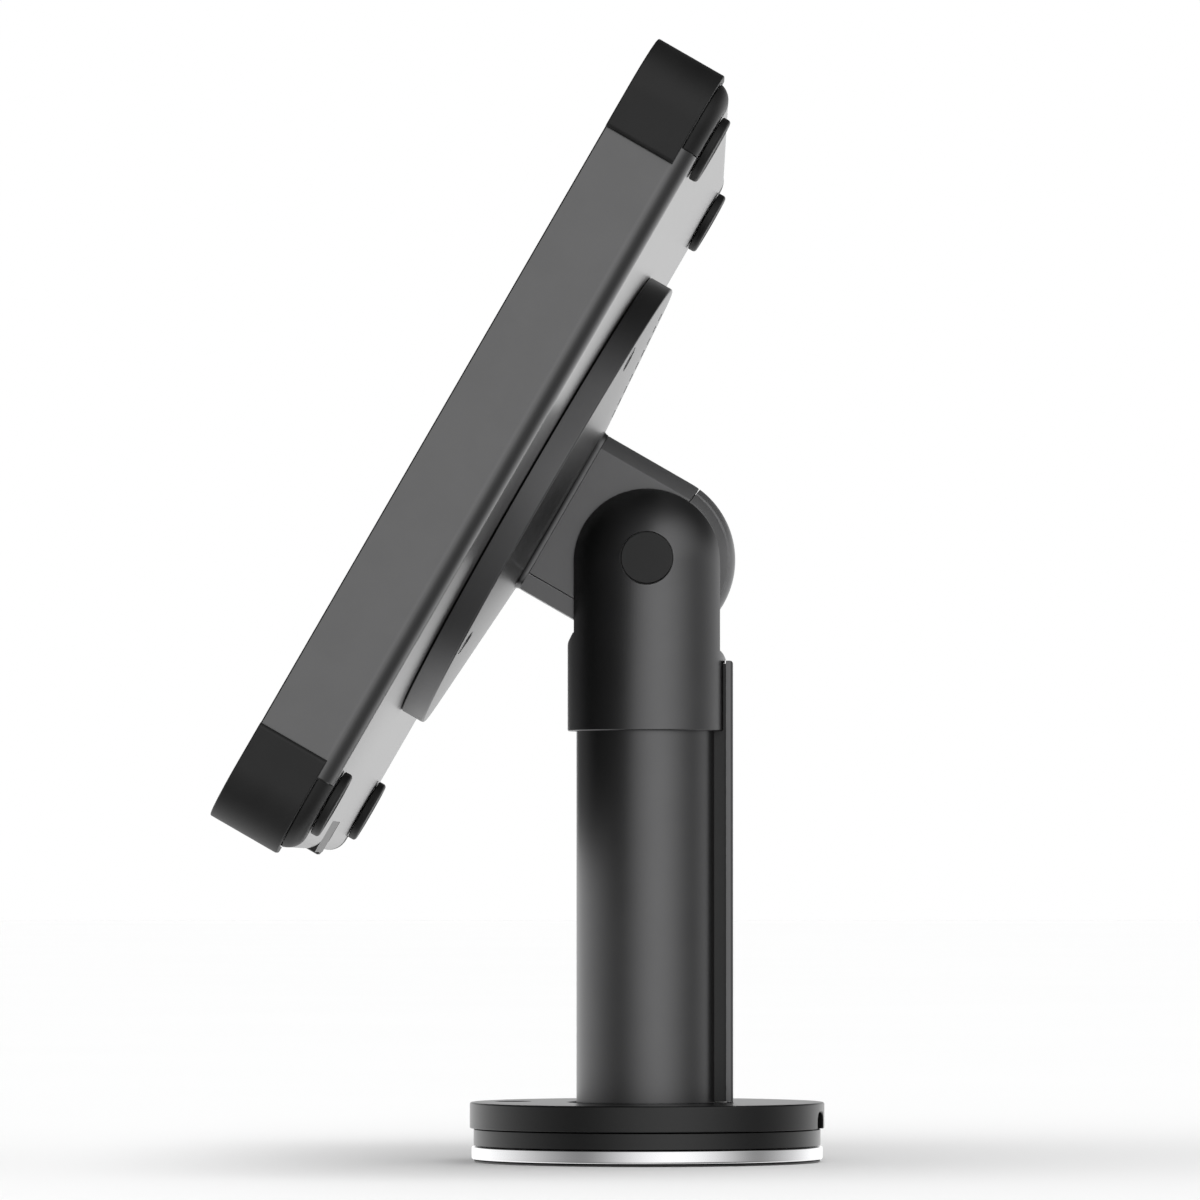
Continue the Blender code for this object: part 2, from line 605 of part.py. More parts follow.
def make_fork(paint, steel, dark, axis):
    fork = solid("fork_head", fork_body(), paint, axis)
    reach = FORK_RADIUS + STRIP_THICK * 2
    socket = solid("pole_socket", rod(POLE_RADIUS + GAP, COLLAR_BOTTOM - GAP, POLE_TOP + GAP,
                                      count=POLE_SIDES), parent=axis)
    strip_half = STRIP_HALF + GAP
    strip_slot = solid("strip_slot", block((POLE_FLAT - CHANNEL_WALL, -strip_half,
                                            COLLAR_BOTTOM - 2 * GAP),
                                           (reach, strip_half, STRIP_TOP + GAP)), parent=axis)
    top = PIVOT_HEIGHT + FORK_RADIUS + GAP
    outline = [(SLOT_FLOOR + rise, -FORK_RADIUS - over) for over, rise in SLOT_FRONT]
    outline += [(top, -FORK_RADIUS - SLOT_FRONT[-1][0]), (top, FORK_RADIUS + SLOT_REAR[0][0])]
    outline += [(SLOT_FLOOR + rise, FORK_RADIUS + over) for over, rise in SLOT_REAR]
    jaw = solid("knuckle_slot", slab(outline, -EAR_FACE, EAR_FACE, "Y"), parent=axis)
    seat = CAP_BACK - GAP - PIVOT_HEAD_THICK
    pivot = solid("pivot_hole", turned(
        [(0, -FORK_RADIUS), (CAP_RADIUS + GAP, -FORK_RADIUS), (CAP_RADIUS + GAP, -seat),
         (PIVOT_RADIUS + GAP, -seat), (PIVOT_RADIUS + GAP, seat), (CAP_RADIUS + GAP, seat),
         (CAP_RADIUS + GAP, FORK_RADIUS), (0, FORK_RADIUS)], 32, "Y"),
        parent=axis, location=(0, 0, PIVOT_HEIGHT))
    thread = solid("tie_hole", rod(TIE_RADIUS + GAP, POLE_TOP - 2 * GAP,
                                   POLE_TOP + TIE_THREAD + 3 * GAP), parent=axis)
    for tool in (socket, strip_slot, jaw, pivot, thread):
        combine(fork, tool)
    head_out = seat + PIVOT_HEAD_THICK
    at_pivot = (0, 0, PIVOT_HEIGHT)
    solid("pivot_bolt", turned(
        [(0, -head_out), (PIVOT_HEAD_RADIUS, -head_out), (PIVOT_HEAD_RADIUS, -seat - GAP),
         (PIVOT_RADIUS, -seat - GAP), (PIVOT_RADIUS, head_out), (0, head_out)], 24, "Y"),
        steel, axis, at_pivot)
    solid("pivot_nut", turned(
        [(PIVOT_RADIUS + GAP, seat + GAP), (PIVOT_HEAD_RADIUS, seat + GAP),
         (PIVOT_HEAD_RADIUS, head_out), (PIVOT_RADIUS + GAP, head_out)], 24, "Y", bored=True),
        steel, axis, at_pivot)
    for side, name in ((-1, "pivot_cap_right"), (1, "pivot_cap_left")):
        solid(name, rod(CAP_RADIUS, side * CAP_BACK, side * CAP_FACE, "Y", count=32), dark,
              axis, at_pivot)


# ---- tilting knuckle -----------------------------------------------------------------------
def crown(across):
    """How far the knuckle's round faces fall away at a distance from the centre plane."""
    return CROWN_FALL * abs(across / KNUCKLE_HALF) ** CROWN_POWER


def crown_share(angle):
    """The whole fall round the end, none along the underside."""
    return min(1.0, max(0.0, (angle + 60) / 20))


def arc_stations(radius, start, end, steps):
    """Points round the pivot: x, z, outward normal and share of the crown."""
    stations = []
    for i in range(steps + 1):
        angle = start + (end - start) * i / steps
        n = (cos(radians(angle)), sin(radians(angle)))
        stations.append((radius * n[0], radius * n[1], n, crown_share(angle)))
    return stations


def crowned(stations):
    """Loft a side outline across the knuckle's width, falling away towards both sides."""
    rings = []
    for j in range(-CROWN_STEPS, CROWN_STEPS + 1):
        across = KNUCKLE_HALF * j / CROWN_STEPS
        fall = crown(across)
        rings.append([(x - n[0] * fall * share, across, z - n[1] * fall * share)
                      for x, z, n, share in stations])
    return loft(rings, split=True)


def make_knuckle(paint, nylon, axis):
    up, down = (0, 1), (0, -1)
    inner = KNUCKLE_RADIUS - SHELL_COVER - GAP
    bed = KNUCKLE_RADIUS - UNDER_COVER - GAP
    end = -degrees(acos(sqrt(inner ** 2 - bed ** 2) / inner))
    stations = [(KNUCKLE_START, -bed, down, 0), (KNUCKLE_START, KNUCKLE_RADIUS, up, 1)]
    stations += arc_stations(KNUCKLE_RADIUS, 90, NOTCH_ANGLE, 1)
    stations += arc_stations(inner, NOTCH_ANGLE, end, ROUND_STEPS)
    stations[-1] = (stations[-1][0], -bed, down, 0)
    knuckle = solid("tilt_knuckle", crowned(stations), paint, axis)
    hole = solid("knuckle_bore", rod(PIVOT_RADIUS + GAP, -FORK_RADIUS, FORK_RADIUS, "Y"),
                 parent=axis)
    combine(knuckle, hole)

    first = NOTCH_ANGLE - degrees(GAP / KNUCKLE_RADIUS)
    lining = arc_stations(inner + GAP, end, first, ROUND_STEPS)
    lining[0] = (lining[0][0], -bed - GAP, down, 0)
    stations = arc_stations(KNUCKLE_RADIUS, first, -90, ROUND_STEPS)
    stations += [(KNUCKLE_START, -KNUCKLE_RADIUS, down, 0), (KNUCKLE_START, -bed - GAP, down, 0)]
    solid("knuckle_cover", crowned((stations + lining)[::-1]), paint, axis)
    for side, name in ((-1, "friction_washer_right"), (1, "friction_washer_left")):
        face = side * (KNUCKLE_HALF + GAP)
        solid(name, washer(PIVOT_RADIUS + GAP, FRICTION_RADIUS, face,
                           face + side * WASHER_THICK, "Y", 28), nylon, axis)
    return knuckle


# ---- mounting disc -------------------------------------------------------------------------
def disc_screw_places():
    half = HOLE_PATTERN / 2
    return [(sy * half, sz * half - DISC_DROP) for sy, sz in CORNERS.values()]


def make_disc(paint, bolt, axis, knuckle):
    e = DISC_EDGE
    disc = solid("mount_disc", turned(
        [(0, DISC_FRONT), (DISC_RADIUS - e, DISC_FRONT), (DISC_RADIUS, DISC_FRONT + e),
         (DISC_RADIUS, DISC_BACK - e), (DISC_RADIUS - e, DISC_BACK), (NECK_RADIUS, NECK_PLANE),
         (0, NECK_PLANE)], DISC_SIDES, "X"), paint, axis,
        (0, 0, -DISC_DROP))
    end = KNUCKLE_START - GAP
    rings = []
    for i in range(NECK_STEPS + 1):
        angle = pi / 2 * i / NECK_STEPS
        out = NECK_FLARE * (1 - sin(angle))
        place = NECK_PLANE - GAP + (end - NECK_PLANE + GAP) * (1 - cos(angle))
        outline = rounded_box(KNUCKLE_HALF + out, KNUCKLE_RADIUS + out, NECK_ROUND + out, 4)
        rings.append([(place, y, z) for y, z in outline])
    neck = solid("neck", loft(rings), parent=axis)
    combine(disc, neck, "UNION")
    combine(disc, disc_marks(axis))
    seat = DISC_FRONT + DISC_SCREW_SEAT
    for n, (y, z) in enumerate(disc_screw_places(), 1):
        top = seat + DISC_SCREW_HEIGHT
        tip = seat - DISC_SCREW_LENGTH
        screw = solid(f"disc_screw_{n}", turned(
            [(0, tip), (DISC_SCREW_SHANK, tip), (DISC_SCREW_SHANK, seat), (DISC_SCREW_HEAD, seat),
             (DISC_SCREW_HEAD, top - DISC_SCREW_EDGE), (DISC_SCREW_HEAD - DISC_SCREW_EDGE, top),
             (0, top)], 16, "X"),
            bolt, axis, (0, y, z))
        key = solid(f"disc_screw_key_{n}", rod(DISC_SCREW_KEY, top - DISC_SCREW_SHANK,
                                               top + GAP, "X", count=6),
                    parent=axis, location=(0, y, z))
        combine(screw, key)
        hole = solid(f"disc_screw_hole_{n}", turned(
            [(0, tip), (DISC_SCREW_SHANK + GAP, tip), (DISC_SCREW_SHANK + GAP, seat - GAP),
             (DISC_SCREW_HEAD + GAP, seat - GAP), (DISC_SCREW_HEAD + GAP, NECK_PLANE),
             (0, NECK_PLANE)], 16, "X"), parent=axis, location=(0, y, z))
        combine(disc, hole)
    make_neck_screws(disc, bolt, axis, knuckle)
    return disc


def disc_marks(axis):
    """A row of shallow slots up the disc's cone."""
    slope = DISC_CONE / (DISC_RADIUS - DISC_EDGE - NECK_RADIUS)
    cutter = bmesh.new()
    for i in range(RIB_COUNT):
        z = NECK_RADIUS + RIB_OFF + RIB_PITCH * i
        surface = NECK_PLANE - (z + DISC_DROP - NECK_RADIUS) * slope
        add_to(cutter, block((surface - RIB_DEPTH, -RIB_LENGTH / 2, z),
                             (NECK_PLANE + RIB_DEPTH, RIB_LENGTH / 2, z + RIB_WIDTH)))
    return solid("rib_slots", cutter, parent=axis)


def make_neck_screws(disc, bolt, axis, knuckle):
    """Two screws from the disc's front hold it to the knuckle."""
    seat = DISC_FRONT + NECK_SCREW_SEAT
    tip = seat + NECK_SCREW_LENGTH
    for side, name in ((1, "neck_screw_upper"), (-1, "neck_screw_lower")):
        place = (0, 0, side * NECK_SCREW_OFFSET)
        solid(name, turned(
            [(0, DISC_FRONT + GAP), (NECK_SCREW_HEAD, DISC_FRONT + GAP), (NECK_SCREW_HEAD, seat),
             (NECK_SCREW_SHANK, seat), (NECK_SCREW_SHANK, tip), (0, tip)], SCREW_SIDES, "X"),
            bolt, axis, place)
        hole = solid(name + "_hole", turned(
            [(0, DISC_FRONT - GAP), (NECK_SCREW_HEAD + GAP, DISC_FRONT - GAP),
             (NECK_SCREW_HEAD + GAP, seat + GAP), (NECK_SCREW_SHANK + GAP, seat + GAP),
             (NECK_SCREW_SHANK + GAP, tip + GAP), (0, tip + GAP)], SCREW_SIDES, "X"),
            parent=axis, location=place)
        combine(disc, hole)
        combine(knuckle, hole)


# ---- terminal casing -----------------------------------------------------------------------
def shell_ring(x, inset):
    outline = rounded_box(HALF_Y - inset, HALF_Z - inset, CORNER_RADIUS - inset, CORNER_STEPS)
    return [(x, y, z) for y, z in outline]


def edge_arc(radius, first, last, steps):
    """Points of the rear edge's round: x, and the inset from the shell's side."""
    points = []
    for i in range(steps + 1):
        angle = first + (last - first) * i / steps
        points.append((BACK - EDGE_RADIUS + radius * sin(angle),
                       EDGE_RADIUS - radius * cos(angle)))
    return points


def make_shell(grey, axis):
    rings = [shell_ring(x, inset) for x, inset in edge_arc(EDGE_RADIUS, pi / 2, 0, EDGE_STEPS)]
    rings += [shell_ring(FRONT + FRONT_CHAMFER, 0), shell_ring(FRONT, FRONT_CHAMFER),
              shell_ring(FRONT, GLASS_RIM), shell_ring(CAVITY_FRONT, GLASS_RIM),
              shell_ring(CAVITY_FRONT, SIDE_WALL), shell_ring(CAVITY_BACK, SIDE_WALL)]
    shell = solid("rear_shell", loft(rings), grey, axis)
    combine(shell, vent_slots(axis))
    return shell


def vent_slots(axis):
    """Two groups of slots through the lower wall, one for each speaker."""
    cutter = bmesh.new()
    outline = rounded_box(VENT_LENGTH / 2, VENT_WIDTH / 2, VENT_WIDTH / 2 - GAP / 3, 2)
    for side in (1, -1):
        for i in range(VENT_COUNT):
            x = FRONT + VENT_IN_X
            y = side * (HALF_Y - VENT_IN_Y) + VENT_PITCH * (i - (VENT_COUNT - 1) / 2)
            add_to(cutter, slab([(a + x, b + y) for a, b in outline], -HALF_Z - GAP,
                                GAP - CAVITY_Z, "Z"))
    return solid("vents", cutter, parent=axis)


def corner_stations(corner, length, steps):
    """Places along the shell's outline round one corner, with their outward normals."""
    sy, sz = corner
    places = [((sy * HALF_Y, sz * (HALF_Z - length)), (sy, 0))]
    for i in range(steps + 1):
        angle = pi / 2 * i / steps
        n = (sy * cos(angle), sz * sin(angle))
        places.append(((sy * (HALF_Y - CORNER_RADIUS) + CORNER_RADIUS * n[0],
                        sz * (HALF_Z - CORNER_RADIUS) + CORNER_RADIUS * n[1]), n))
    places.append(((sy * (HALF_Y - length), sz * HALF_Z), (0, sz)))
    return places


def swept(corner, profile, length):
    """Sweep a profile of (x, inset) points round a corner."""
    return loft([[(x, p[0] - n[0] * inset, p[1] - n[1] * inset) for x, inset in profile]
                 for p, n in corner_stations(corner, length, CORNER_STEPS)])


def make_bumper(name, corner, rubber, axis):
    edge = FRONT_CHAMFER
    back = BUMPER_BACK
    profile = [(FRONT, -GAP), (FRONT, edge - BUMPER_PROUD), (FRONT + edge, -BUMPER_PROUD),
               (back - edge / 2, -BUMPER_PROUD), (back, edge / 2 - BUMPER_PROUD), (back, -GAP)]
    bm = swept(corner, profile, BUMPER_LENGTH)
    bm.verts.ensure_lookup_table()
    last = len(bm.verts) - len(profile)
    ends = [bm.edges.get((bm.verts[start + 2], bm.verts[start + 3])) for start in (0, last)]
    bmesh.ops.bevel(bm, geom=ends, offset=BUMPER_ROUND, segments=3, profile=0.5, affect="EDGES")
    solid("corner_bumper_" + name, bm, rubber, axis)


def make_guard(name, corner, rubber, axis, shell):
    start = BUMPER_BACK + GAP
    lip = EDGE_RADIUS + GUARD_LIP

    def first(radius, place):
        return pi / 2 - acos((place - BACK + EDGE_RADIUS) / radius)

    outer, inner = EDGE_RADIUS, EDGE_RADIUS - GUARD_THICK
    profile = edge_arc(outer, first(outer, start), pi / 2, EDGE_STEPS)
    profile += [(BACK, lip), (BACK - GUARD_THICK, lip)]
    profile += edge_arc(inner, pi / 2, first(inner, start), EDGE_STEPS)
    solid("corner_guard_" + name, swept(corner, profile, GUARD_LENGTH), rubber, axis)
    deep = inner - GAP
    pocket = edge_arc(deep, first(deep, start - GAP), pi / 2, EDGE_STEPS)
    pocket += [(BACK - GUARD_THICK - GAP, lip + GAP), (BACK + GUARD_THICK, lip + GAP),
               (BACK + GUARD_THICK, -GUARD_THICK), (start - GAP, -GUARD_THICK)]
    combine(shell, solid("guard_pocket_" + name, swept(corner, pocket, GUARD_LENGTH + GAP),
                         parent=axis))


def make_rear_foot(name, corner, rubber, axis):
    low, high = BACK + GAP, BACK + GAP + REAR_FOOT_HEIGHT
    r, e = REAR_FOOT_RADIUS, REAR_FOOT_ROUND
    profile = [(0, low), (r, low)]
    turns = [pi / 2 * i / FOOT_STEPS for i in range(FOOT_STEPS + 1)]
    profile += [(r - e + e * cos(t), high - e + e * sin(t)) for t in turns]
    profile.append((0, high))
    place = (0, corner[0] * (HALF_Y - REAR_FOOT_IN_Y), corner[1] * (HALF_Z - REAR_FOOT_IN_Z))
    solid("rear_foot_" + name, turned(profile, FOOT_SIDES, "X"), rubber, axis, place)


def make_port_cover(dark, axis, shell):
    low = (BACK - PORT_DEPTH, -PORT_HALF, PORT_SINK - HALF_Z)
    high = (BACK - GAP / 3, PORT_HALF, PORT_SINK - HALF_Z + PORT_HEIGHT)
    solid("port_cover", block(low, high, 2 * GAP, 1), dark, axis)
    g = Vector((GAP, GAP, GAP))
    bay = solid("port_bay", block((low[0] - GAP, low[1] - GAP, -HALF_Z - GAP),
                                  Vector((BACK + GAP, high[1], high[2])) + g), parent=axis)
    combine(shell, bay)


def make_glass(glass, axis):
    inset = GLASS_RIM + GAP
    front = FRONT + GLASS_SINK
    solid("front_glass", loft([shell_ring(x, inset) for x in (front, front + GLASS_THICK)]),
          glass, axis)


# ---- inside the terminal -------------------------------------------------------------------
def centred(size, x, y, z):
    """Corners of a box whose front face is at x and whose centre is at y, z."""
    return (x, y - size[1] / 2, z - size[2] / 2), (x + size[0], y + size[1] / 2, z + size[2] / 2)


def make_display(dark, alloy, copper, axis):
    panel = (PANEL_THICK, 2 * PANEL_HALF_Y, 2 * PANEL_HALF_Z)
    solid("display_panel", block(*centred(panel, CAVITY_FRONT, PANEL_SHIFT, 0)), dark, axis)
    half_y, half_z = CAVITY_Y - MID_FRAME_IN, CAVITY_Z - MID_FRAME_IN
    solid("mid_frame", block((FRAME_FRONT, -half_y, -half_z), (FRAME_BACK, half_y, half_z)),
          alloy, axis)
    y = CAVITY_Y - ANTENNA_IN
    rings = []
    for a, b, x in ((0, 0, 0), (0, 0, 1), (1, 1, 1), (1, 1, 0)):
        hy = ANTENNA_HALF_Y - a * ANTENNA_BAND
        hz = ANTENNA_HALF_Z - b * ANTENNA_BAND
        rings.append([(CAVITY_FRONT + x * ANTENNA_THICK, y + sy * hy, sz * hz)
                      for sy, sz in ((1, 1), (-1, 1), (-1, -1), (1, -1))])
    solid("contactless_antenna", loft(rings, closed=True), copper, axis)
    top = PANEL_HALF_Z + 3 * GAP + CAMERA_SIZE[2] / 2
    solid("camera_module", block(*centred(CAMERA_SIZE, CAVITY_FRONT, PANEL_SHIFT, top)), dark,
          axis)


def make_electronics(board, dark, axis):
    x = FRAME_BACK + BOARD_OFF
    solid("mainboard", block((x, BATTERY_EDGE + BOARD_TO_BATTERY, -BOARD_HEIGHT / 2),
                             (x + BOARD_THICK, READER_EDGE - BOARD_TO_READER, BOARD_HEIGHT / 2)),
          board, axis)
    solid("battery", block(*centred(BATTERY_SIZE, FRAME_BACK + BATTERY_OFF,
                                    BATTERY_EDGE - BATTERY_SIZE[1] / 2, 0)), dark, axis)
    x = CAVITY_BACK - 2 * GAP - SPEAKER_SIZE[0]
    for side, name in ((1, "speaker_left"), (-1, "speaker_right")):
        y = side * (HALF_Y - VENT_IN_Y)
        z = SPEAKER_SIZE[2] / 2 + 2 * GAP - CAVITY_Z
        solid(name, block(*centred(SPEAKER_SIZE, x, y, z)), dark, axis)


def make_card_reader(dark, axis, shell):
    end = CAVITY_Y - GAP
    half = READER_THICK / 2
    reader = solid("card_reader", block((READER_X - half, READER_EDGE, -READER_HALF_Z),
                                        (READER_X + half, end, READER_HALF_Z)), dark, axis)
    slot = CARD_SLOT / 2
    card = solid("card_path", block((READER_X - slot, READER_EDGE + READER_STOP, -CARD_HALF),
                                    (READER_X + slot, HALF_Y + 5 * MOUTH_LIP, CARD_HALF)),
                 parent=axis)
    combine(reader, card)
    neck_x, neck_z = slot + MOUTH_WALL, CARD_HALF + MOUTH_WALL
    lip_x, lip_z = neck_x + MOUTH_WALL, neck_z + MOUTH_WALL
    face = HALF_Y + GAP
    mouth = solid("card_slot_bezel", block((READER_X - lip_x, face, -lip_z),
                                           (READER_X + lip_x, face + MOUTH_LIP, lip_z),
                                           GAP, 2), dark, axis)
    throat = solid("card_throat", block((READER_X - neck_x, CAVITY_Y + GAP, -neck_z),
                                        (READER_X + neck_x, face + MOUTH_LIP / 2, neck_z)),
                   parent=axis)
    combine(mouth, throat, "UNION")
    combine(mouth, card)
    window = solid("card_window", block((READER_X - neck_x - GAP, CAVITY_Y - GAP, -neck_z - GAP),
                                        (READER_X + neck_x + GAP, HALF_Y + GAP, neck_z + GAP)),
                   parent=axis)
    combine(shell, window)


def make_button(name, shift, dark, axis, shell):
    """A key in the top edge, held in by a flange inside the wall; it slides along Z."""
    x = FRONT + BUTTON_DEPTH
    keep = CAVITY_Z - GAP
    outline = rounded_box(BUTTON_WIDTH / 2, BUTTON_HALF, BUTTON_WIDTH / 2 - GAP / 3, 4)
    wide = rounded_box(BUTTON_WIDTH / 2 + 4 * GAP, BUTTON_HALF + 4 * GAP, BUTTON_WIDTH / 2, 4)
    hole = rounded_box(BUTTON_WIDTH / 2 + GAP, BUTTON_HALF + GAP, BUTTON_WIDTH / 2, 4)
    levels = [(wide, keep - BUTTON_FLANGE), (wide, keep), (outline, keep),
              (outline, HALF_Z + BUTTON_PROUD)]
    solid(name, loft([[(a, b, h) for a, b in shape] for shape, h in levels]), dark, axis,
          (x, shift, 0))
    well = solid(name + "_well", slab(hole, CAVITY_Z - GAP, HALF_Z + GAP, "Z"), parent=axis,
                 location=(x, shift, 0))
    combine(shell, well)


def make_terminal(axis, finishes):
    grey, dark, rubber, glass, alloy, copper, board = finishes
    shell = make_shell(grey, axis)
    for name, corner in CORNERS.items():
        make_bumper(name, corner, rubber, axis)
        make_guard(name, corner, rubber, axis, shell)
        make_rear_foot(name, corner, rubber, axis)
    make_port_cover(dark, axis, shell)
    make_glass(glass, axis)
    make_display(dark, alloy, copper, axis)
    make_electronics(board, dark, axis)
    make_card_reader(dark, axis, shell)
    make_button("power_button", POWER_SHIFT, dark, axis, shell)
    make_button("volume_button", VOLUME_SHIFT, dark, axis, shell)
    hold_terminal(shell, axis)


def hold_terminal(shell, axis):
    """Holes in the rear wall for the four screws of the disc."""
    for n, (y, z) in enumerate(disc_screw_places(), 1):
        hole = solid(f"shell_screw_hole_{n}", rod(DISC_SCREW_SHANK + GAP, CAVITY_BACK - GAP,
                                                  BACK + GAP, "X", count=16),
                     parent=axis, location=(0, y, z + TERMINAL_DROP))
        combine(shell, hole)


def main():
    clear_scene()
    paint = finish("stand paint", (0.022, 0.022, 0.023), 0.42)
    dark = finish("black plastic", (0.012, 0.012, 0.012), 0.5)
    rubber = finish("bumper rubber", (0.020, 0.020, 0.020), 0.62)
    grey = finish("casing grey", (0.105, 0.105, 0.108), 0.4)
    steel = finish("bright steel", (0.75, 0.75, 0.76), 0.18, 1.0)
    bolt = finish("blackened steel", (0.10, 0.10, 0.105), 0.35, 1.0)
    nylon = finish("nylon", (0.75, 0.74, 0.70), 0.5)
    alloy = finish("aluminium", (0.62, 0.62, 0.63), 0.38, 1.0)
    glass = finish("cover glass", (0.010, 0.010, 0.012), 0.05)
    copper = finish("copper", (0.72, 0.34, 0.18), 0.35, 1.0)
    board = finish("circuit board", (0.02, 0.11, 0.05), 0.5)

    make_base(paint, steel, rubber, nylon, bolt)
    swivel = empty("swivel_axis")
    make_pole_foot(alloy, bolt, swivel)
    make_pole(paint, dark, swivel)
    make_fork(paint, steel, dark, swivel)
    tilt = empty("tilt_axis", (0, 0, PIVOT_HEIGHT), (0, radians(LEAN), 0), swivel)
    knuckle = make_knuckle(paint, nylon, tilt)
    make_disc(paint, bolt, tilt, knuckle)
    terminal = empty("terminal_centre", (0, 0, -TERMINAL_DROP), parent=tilt)
    make_terminal(terminal, (grey, dark, rubber, glass, alloy, copper, board))


main()
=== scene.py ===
import json
from math import acos, cos, pi, radians, sin, sqrt, tan

import bmesh
import bpy
from mathutils import Matrix, Vector


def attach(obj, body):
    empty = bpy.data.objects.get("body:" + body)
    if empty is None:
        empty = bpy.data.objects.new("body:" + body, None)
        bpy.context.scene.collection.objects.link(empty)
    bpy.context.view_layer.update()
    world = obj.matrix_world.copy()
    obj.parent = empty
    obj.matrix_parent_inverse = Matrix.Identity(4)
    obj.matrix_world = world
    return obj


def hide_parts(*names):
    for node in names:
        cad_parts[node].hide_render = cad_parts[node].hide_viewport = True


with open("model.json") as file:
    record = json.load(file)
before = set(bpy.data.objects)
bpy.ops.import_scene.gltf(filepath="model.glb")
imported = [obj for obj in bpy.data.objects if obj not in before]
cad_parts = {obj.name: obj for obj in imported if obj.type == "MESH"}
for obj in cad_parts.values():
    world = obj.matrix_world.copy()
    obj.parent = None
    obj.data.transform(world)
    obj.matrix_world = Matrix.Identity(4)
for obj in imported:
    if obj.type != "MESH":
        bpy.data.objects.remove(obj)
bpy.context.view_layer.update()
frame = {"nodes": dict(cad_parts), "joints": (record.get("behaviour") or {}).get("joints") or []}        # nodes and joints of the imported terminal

nodes = frame["nodes"]
joints = {joint["name"]: joint for joint in frame["joints"]}
gap = 0.0003             # left between two pieces that touch

# The head's own frame: X to the rear along the screen's normal, Y to the left, Z up the screen.
pivotPoint = Vector(joints["head_tilt"]["pos_m"])
upScreen = -Vector(joints["power_press"]["axis"]).normalized()
leftward = Vector((0, 1, 0))
upright = Matrix.Identity(4)
headFrame = (Matrix.Translation(pivotPoint)
             @ Matrix((leftward.cross(upScreen), leftward, upScreen)).transposed().to_4x4())
corners = {"upper_left": (1, 1), "upper_right": (-1, 1),
           "lower_left": (1, -1), "lower_right": (-1, -1)}


def span(node, place=upright):                # lowest and highest corner in a piece's own frame
    back = place.inverted()
    points = [back @ vertex.co for vertex in nodes[node].data.vertices]
    return (Vector([min(p[i] for p in points) for i in range(3)]),
            Vector([max(p[i] for p in points) for i in range(3)]))


# Camera
cameraSettings = {"place": (0.0109, -2.904, 0.0904), "aim": (-0.0146, 0.0, 0.1743),
                  "lens": 280.5, "sensor": 36.0}


def makeCamera(settings):
    data = bpy.data.cameras.new("camera")
    data.lens = settings["lens"]
    data.sensor_width = settings["sensor"]
    data.clip_start, data.clip_end = 0.05, 100.0
    camera = bpy.data.objects.new("camera", data)
    camera.location = settings["place"]
    look = Vector(settings["aim"]) - Vector(settings["place"])
    camera.rotation_euler = look.to_track_quat("-Z", "Y").to_euler()
    bpy.context.scene.collection.objects.link(camera)
    bpy.context.scene.camera = camera


makeCamera(cameraSettings)
print("camera placed")


# Shading tools
class Wire:                                   # a node's output that can be used in a sum
    def __init__(self, net, socket):
        self.net = net
        self.socket = socket

    def also(self, name):                     # another output of the same node
        return Wire(self.net, self.socket.node.outputs[name])

    def maths(self, operation, *values):
        return self.net.add("ShaderNodeMath", {"operation": operation}, dict(enumerate(values)))

    def __add__(self, other):
        return self.maths("ADD", self, other)

    def __radd__(self, other):
        return self.maths("ADD", other, self)

    def __sub__(self, other):
        return self.maths("SUBTRACT", self, other)

    def __rsub__(self, other):
        return self.maths("SUBTRACT", other, self)

    def __mul__(self, other):
        return self.maths("MULTIPLY", self, other)

    def __truediv__(self, other):
        return self.maths("DIVIDE", self, other)

    def __pow__(self, other):
        return self.maths("POWER", self, other)


class Net:                                    # a node tree being wired
    def __init__(self, tree):
        self.tree = tree

    def feed(self, socket, value):
        if isinstance(value, Wire):
            self.tree.links.new(value.socket, socket)
        else:
            socket.default_value = value

    def add(self, kind, settings=None, inputs=None, output=0):
        node = self.tree.nodes.new(kind)
        for key, value in (settings or {}).items():
            setattr(node, key, value)
        for key, value in (inputs or {}).items():
            self.feed(node.inputs[key], value)
        return Wire(self, node.outputs[output])

    def clamp(self, value, low, high):        # eased step from 0 to 1
        return self.add("ShaderNodeMapRange", {"interpolation_type": "SMOOTHSTEP"},
                        {"Value": value, "From Min": low, "From Max": high})

    def where(self):                          # the piece's own coordinates, in metres
        return self.add("ShaderNodeTexCoord", output="Object")

    def noise(self, size, detail=2.0, rough=0.5, at=None):        # size of a grain in metres
        return self.add("ShaderNodeTexNoise", {"noise_dimensions": "3D"},
                        {"Vector": at or self.where(), "Scale": 1 / size, "Detail": detail,
                         "Roughness": rough})

    def stretch(self, scale, at=None):
        return self.add("ShaderNodeVectorMath", {"operation": "MULTIPLY"},
                        {0: at or self.where(), 1: scale})

    def blend(self, share, low, high):        # mix of two colours
        mixed = self.add("ShaderNodeMix", {"data_type": "RGBA"}, {"Factor": share}, 2)
        self.feed(mixed.socket.node.inputs[6], low)
        self.feed(mixed.socket.node.inputs[7], high)
        return mixed

    def bump(self, height, depth):
        return self.add("ShaderNodeBump", None,
                        {"Height": height, "Distance": depth, "Strength": 1.0})

    def edges(self, reach):                   # 1 on an outer edge, 0 on flat ground
        bent = self.add("ShaderNodeBevel", {"samples": 4}, {"Radius": reach})
        flat = self.add("ShaderNodeNewGeometry", output="Normal")
        dot = self.add("ShaderNodeVectorMath", {"operation": "DOT_PRODUCT"}, {0: bent, 1: flat},
                       "Value")
        return self.clamp(1 - dot, 0.01, 0.12)


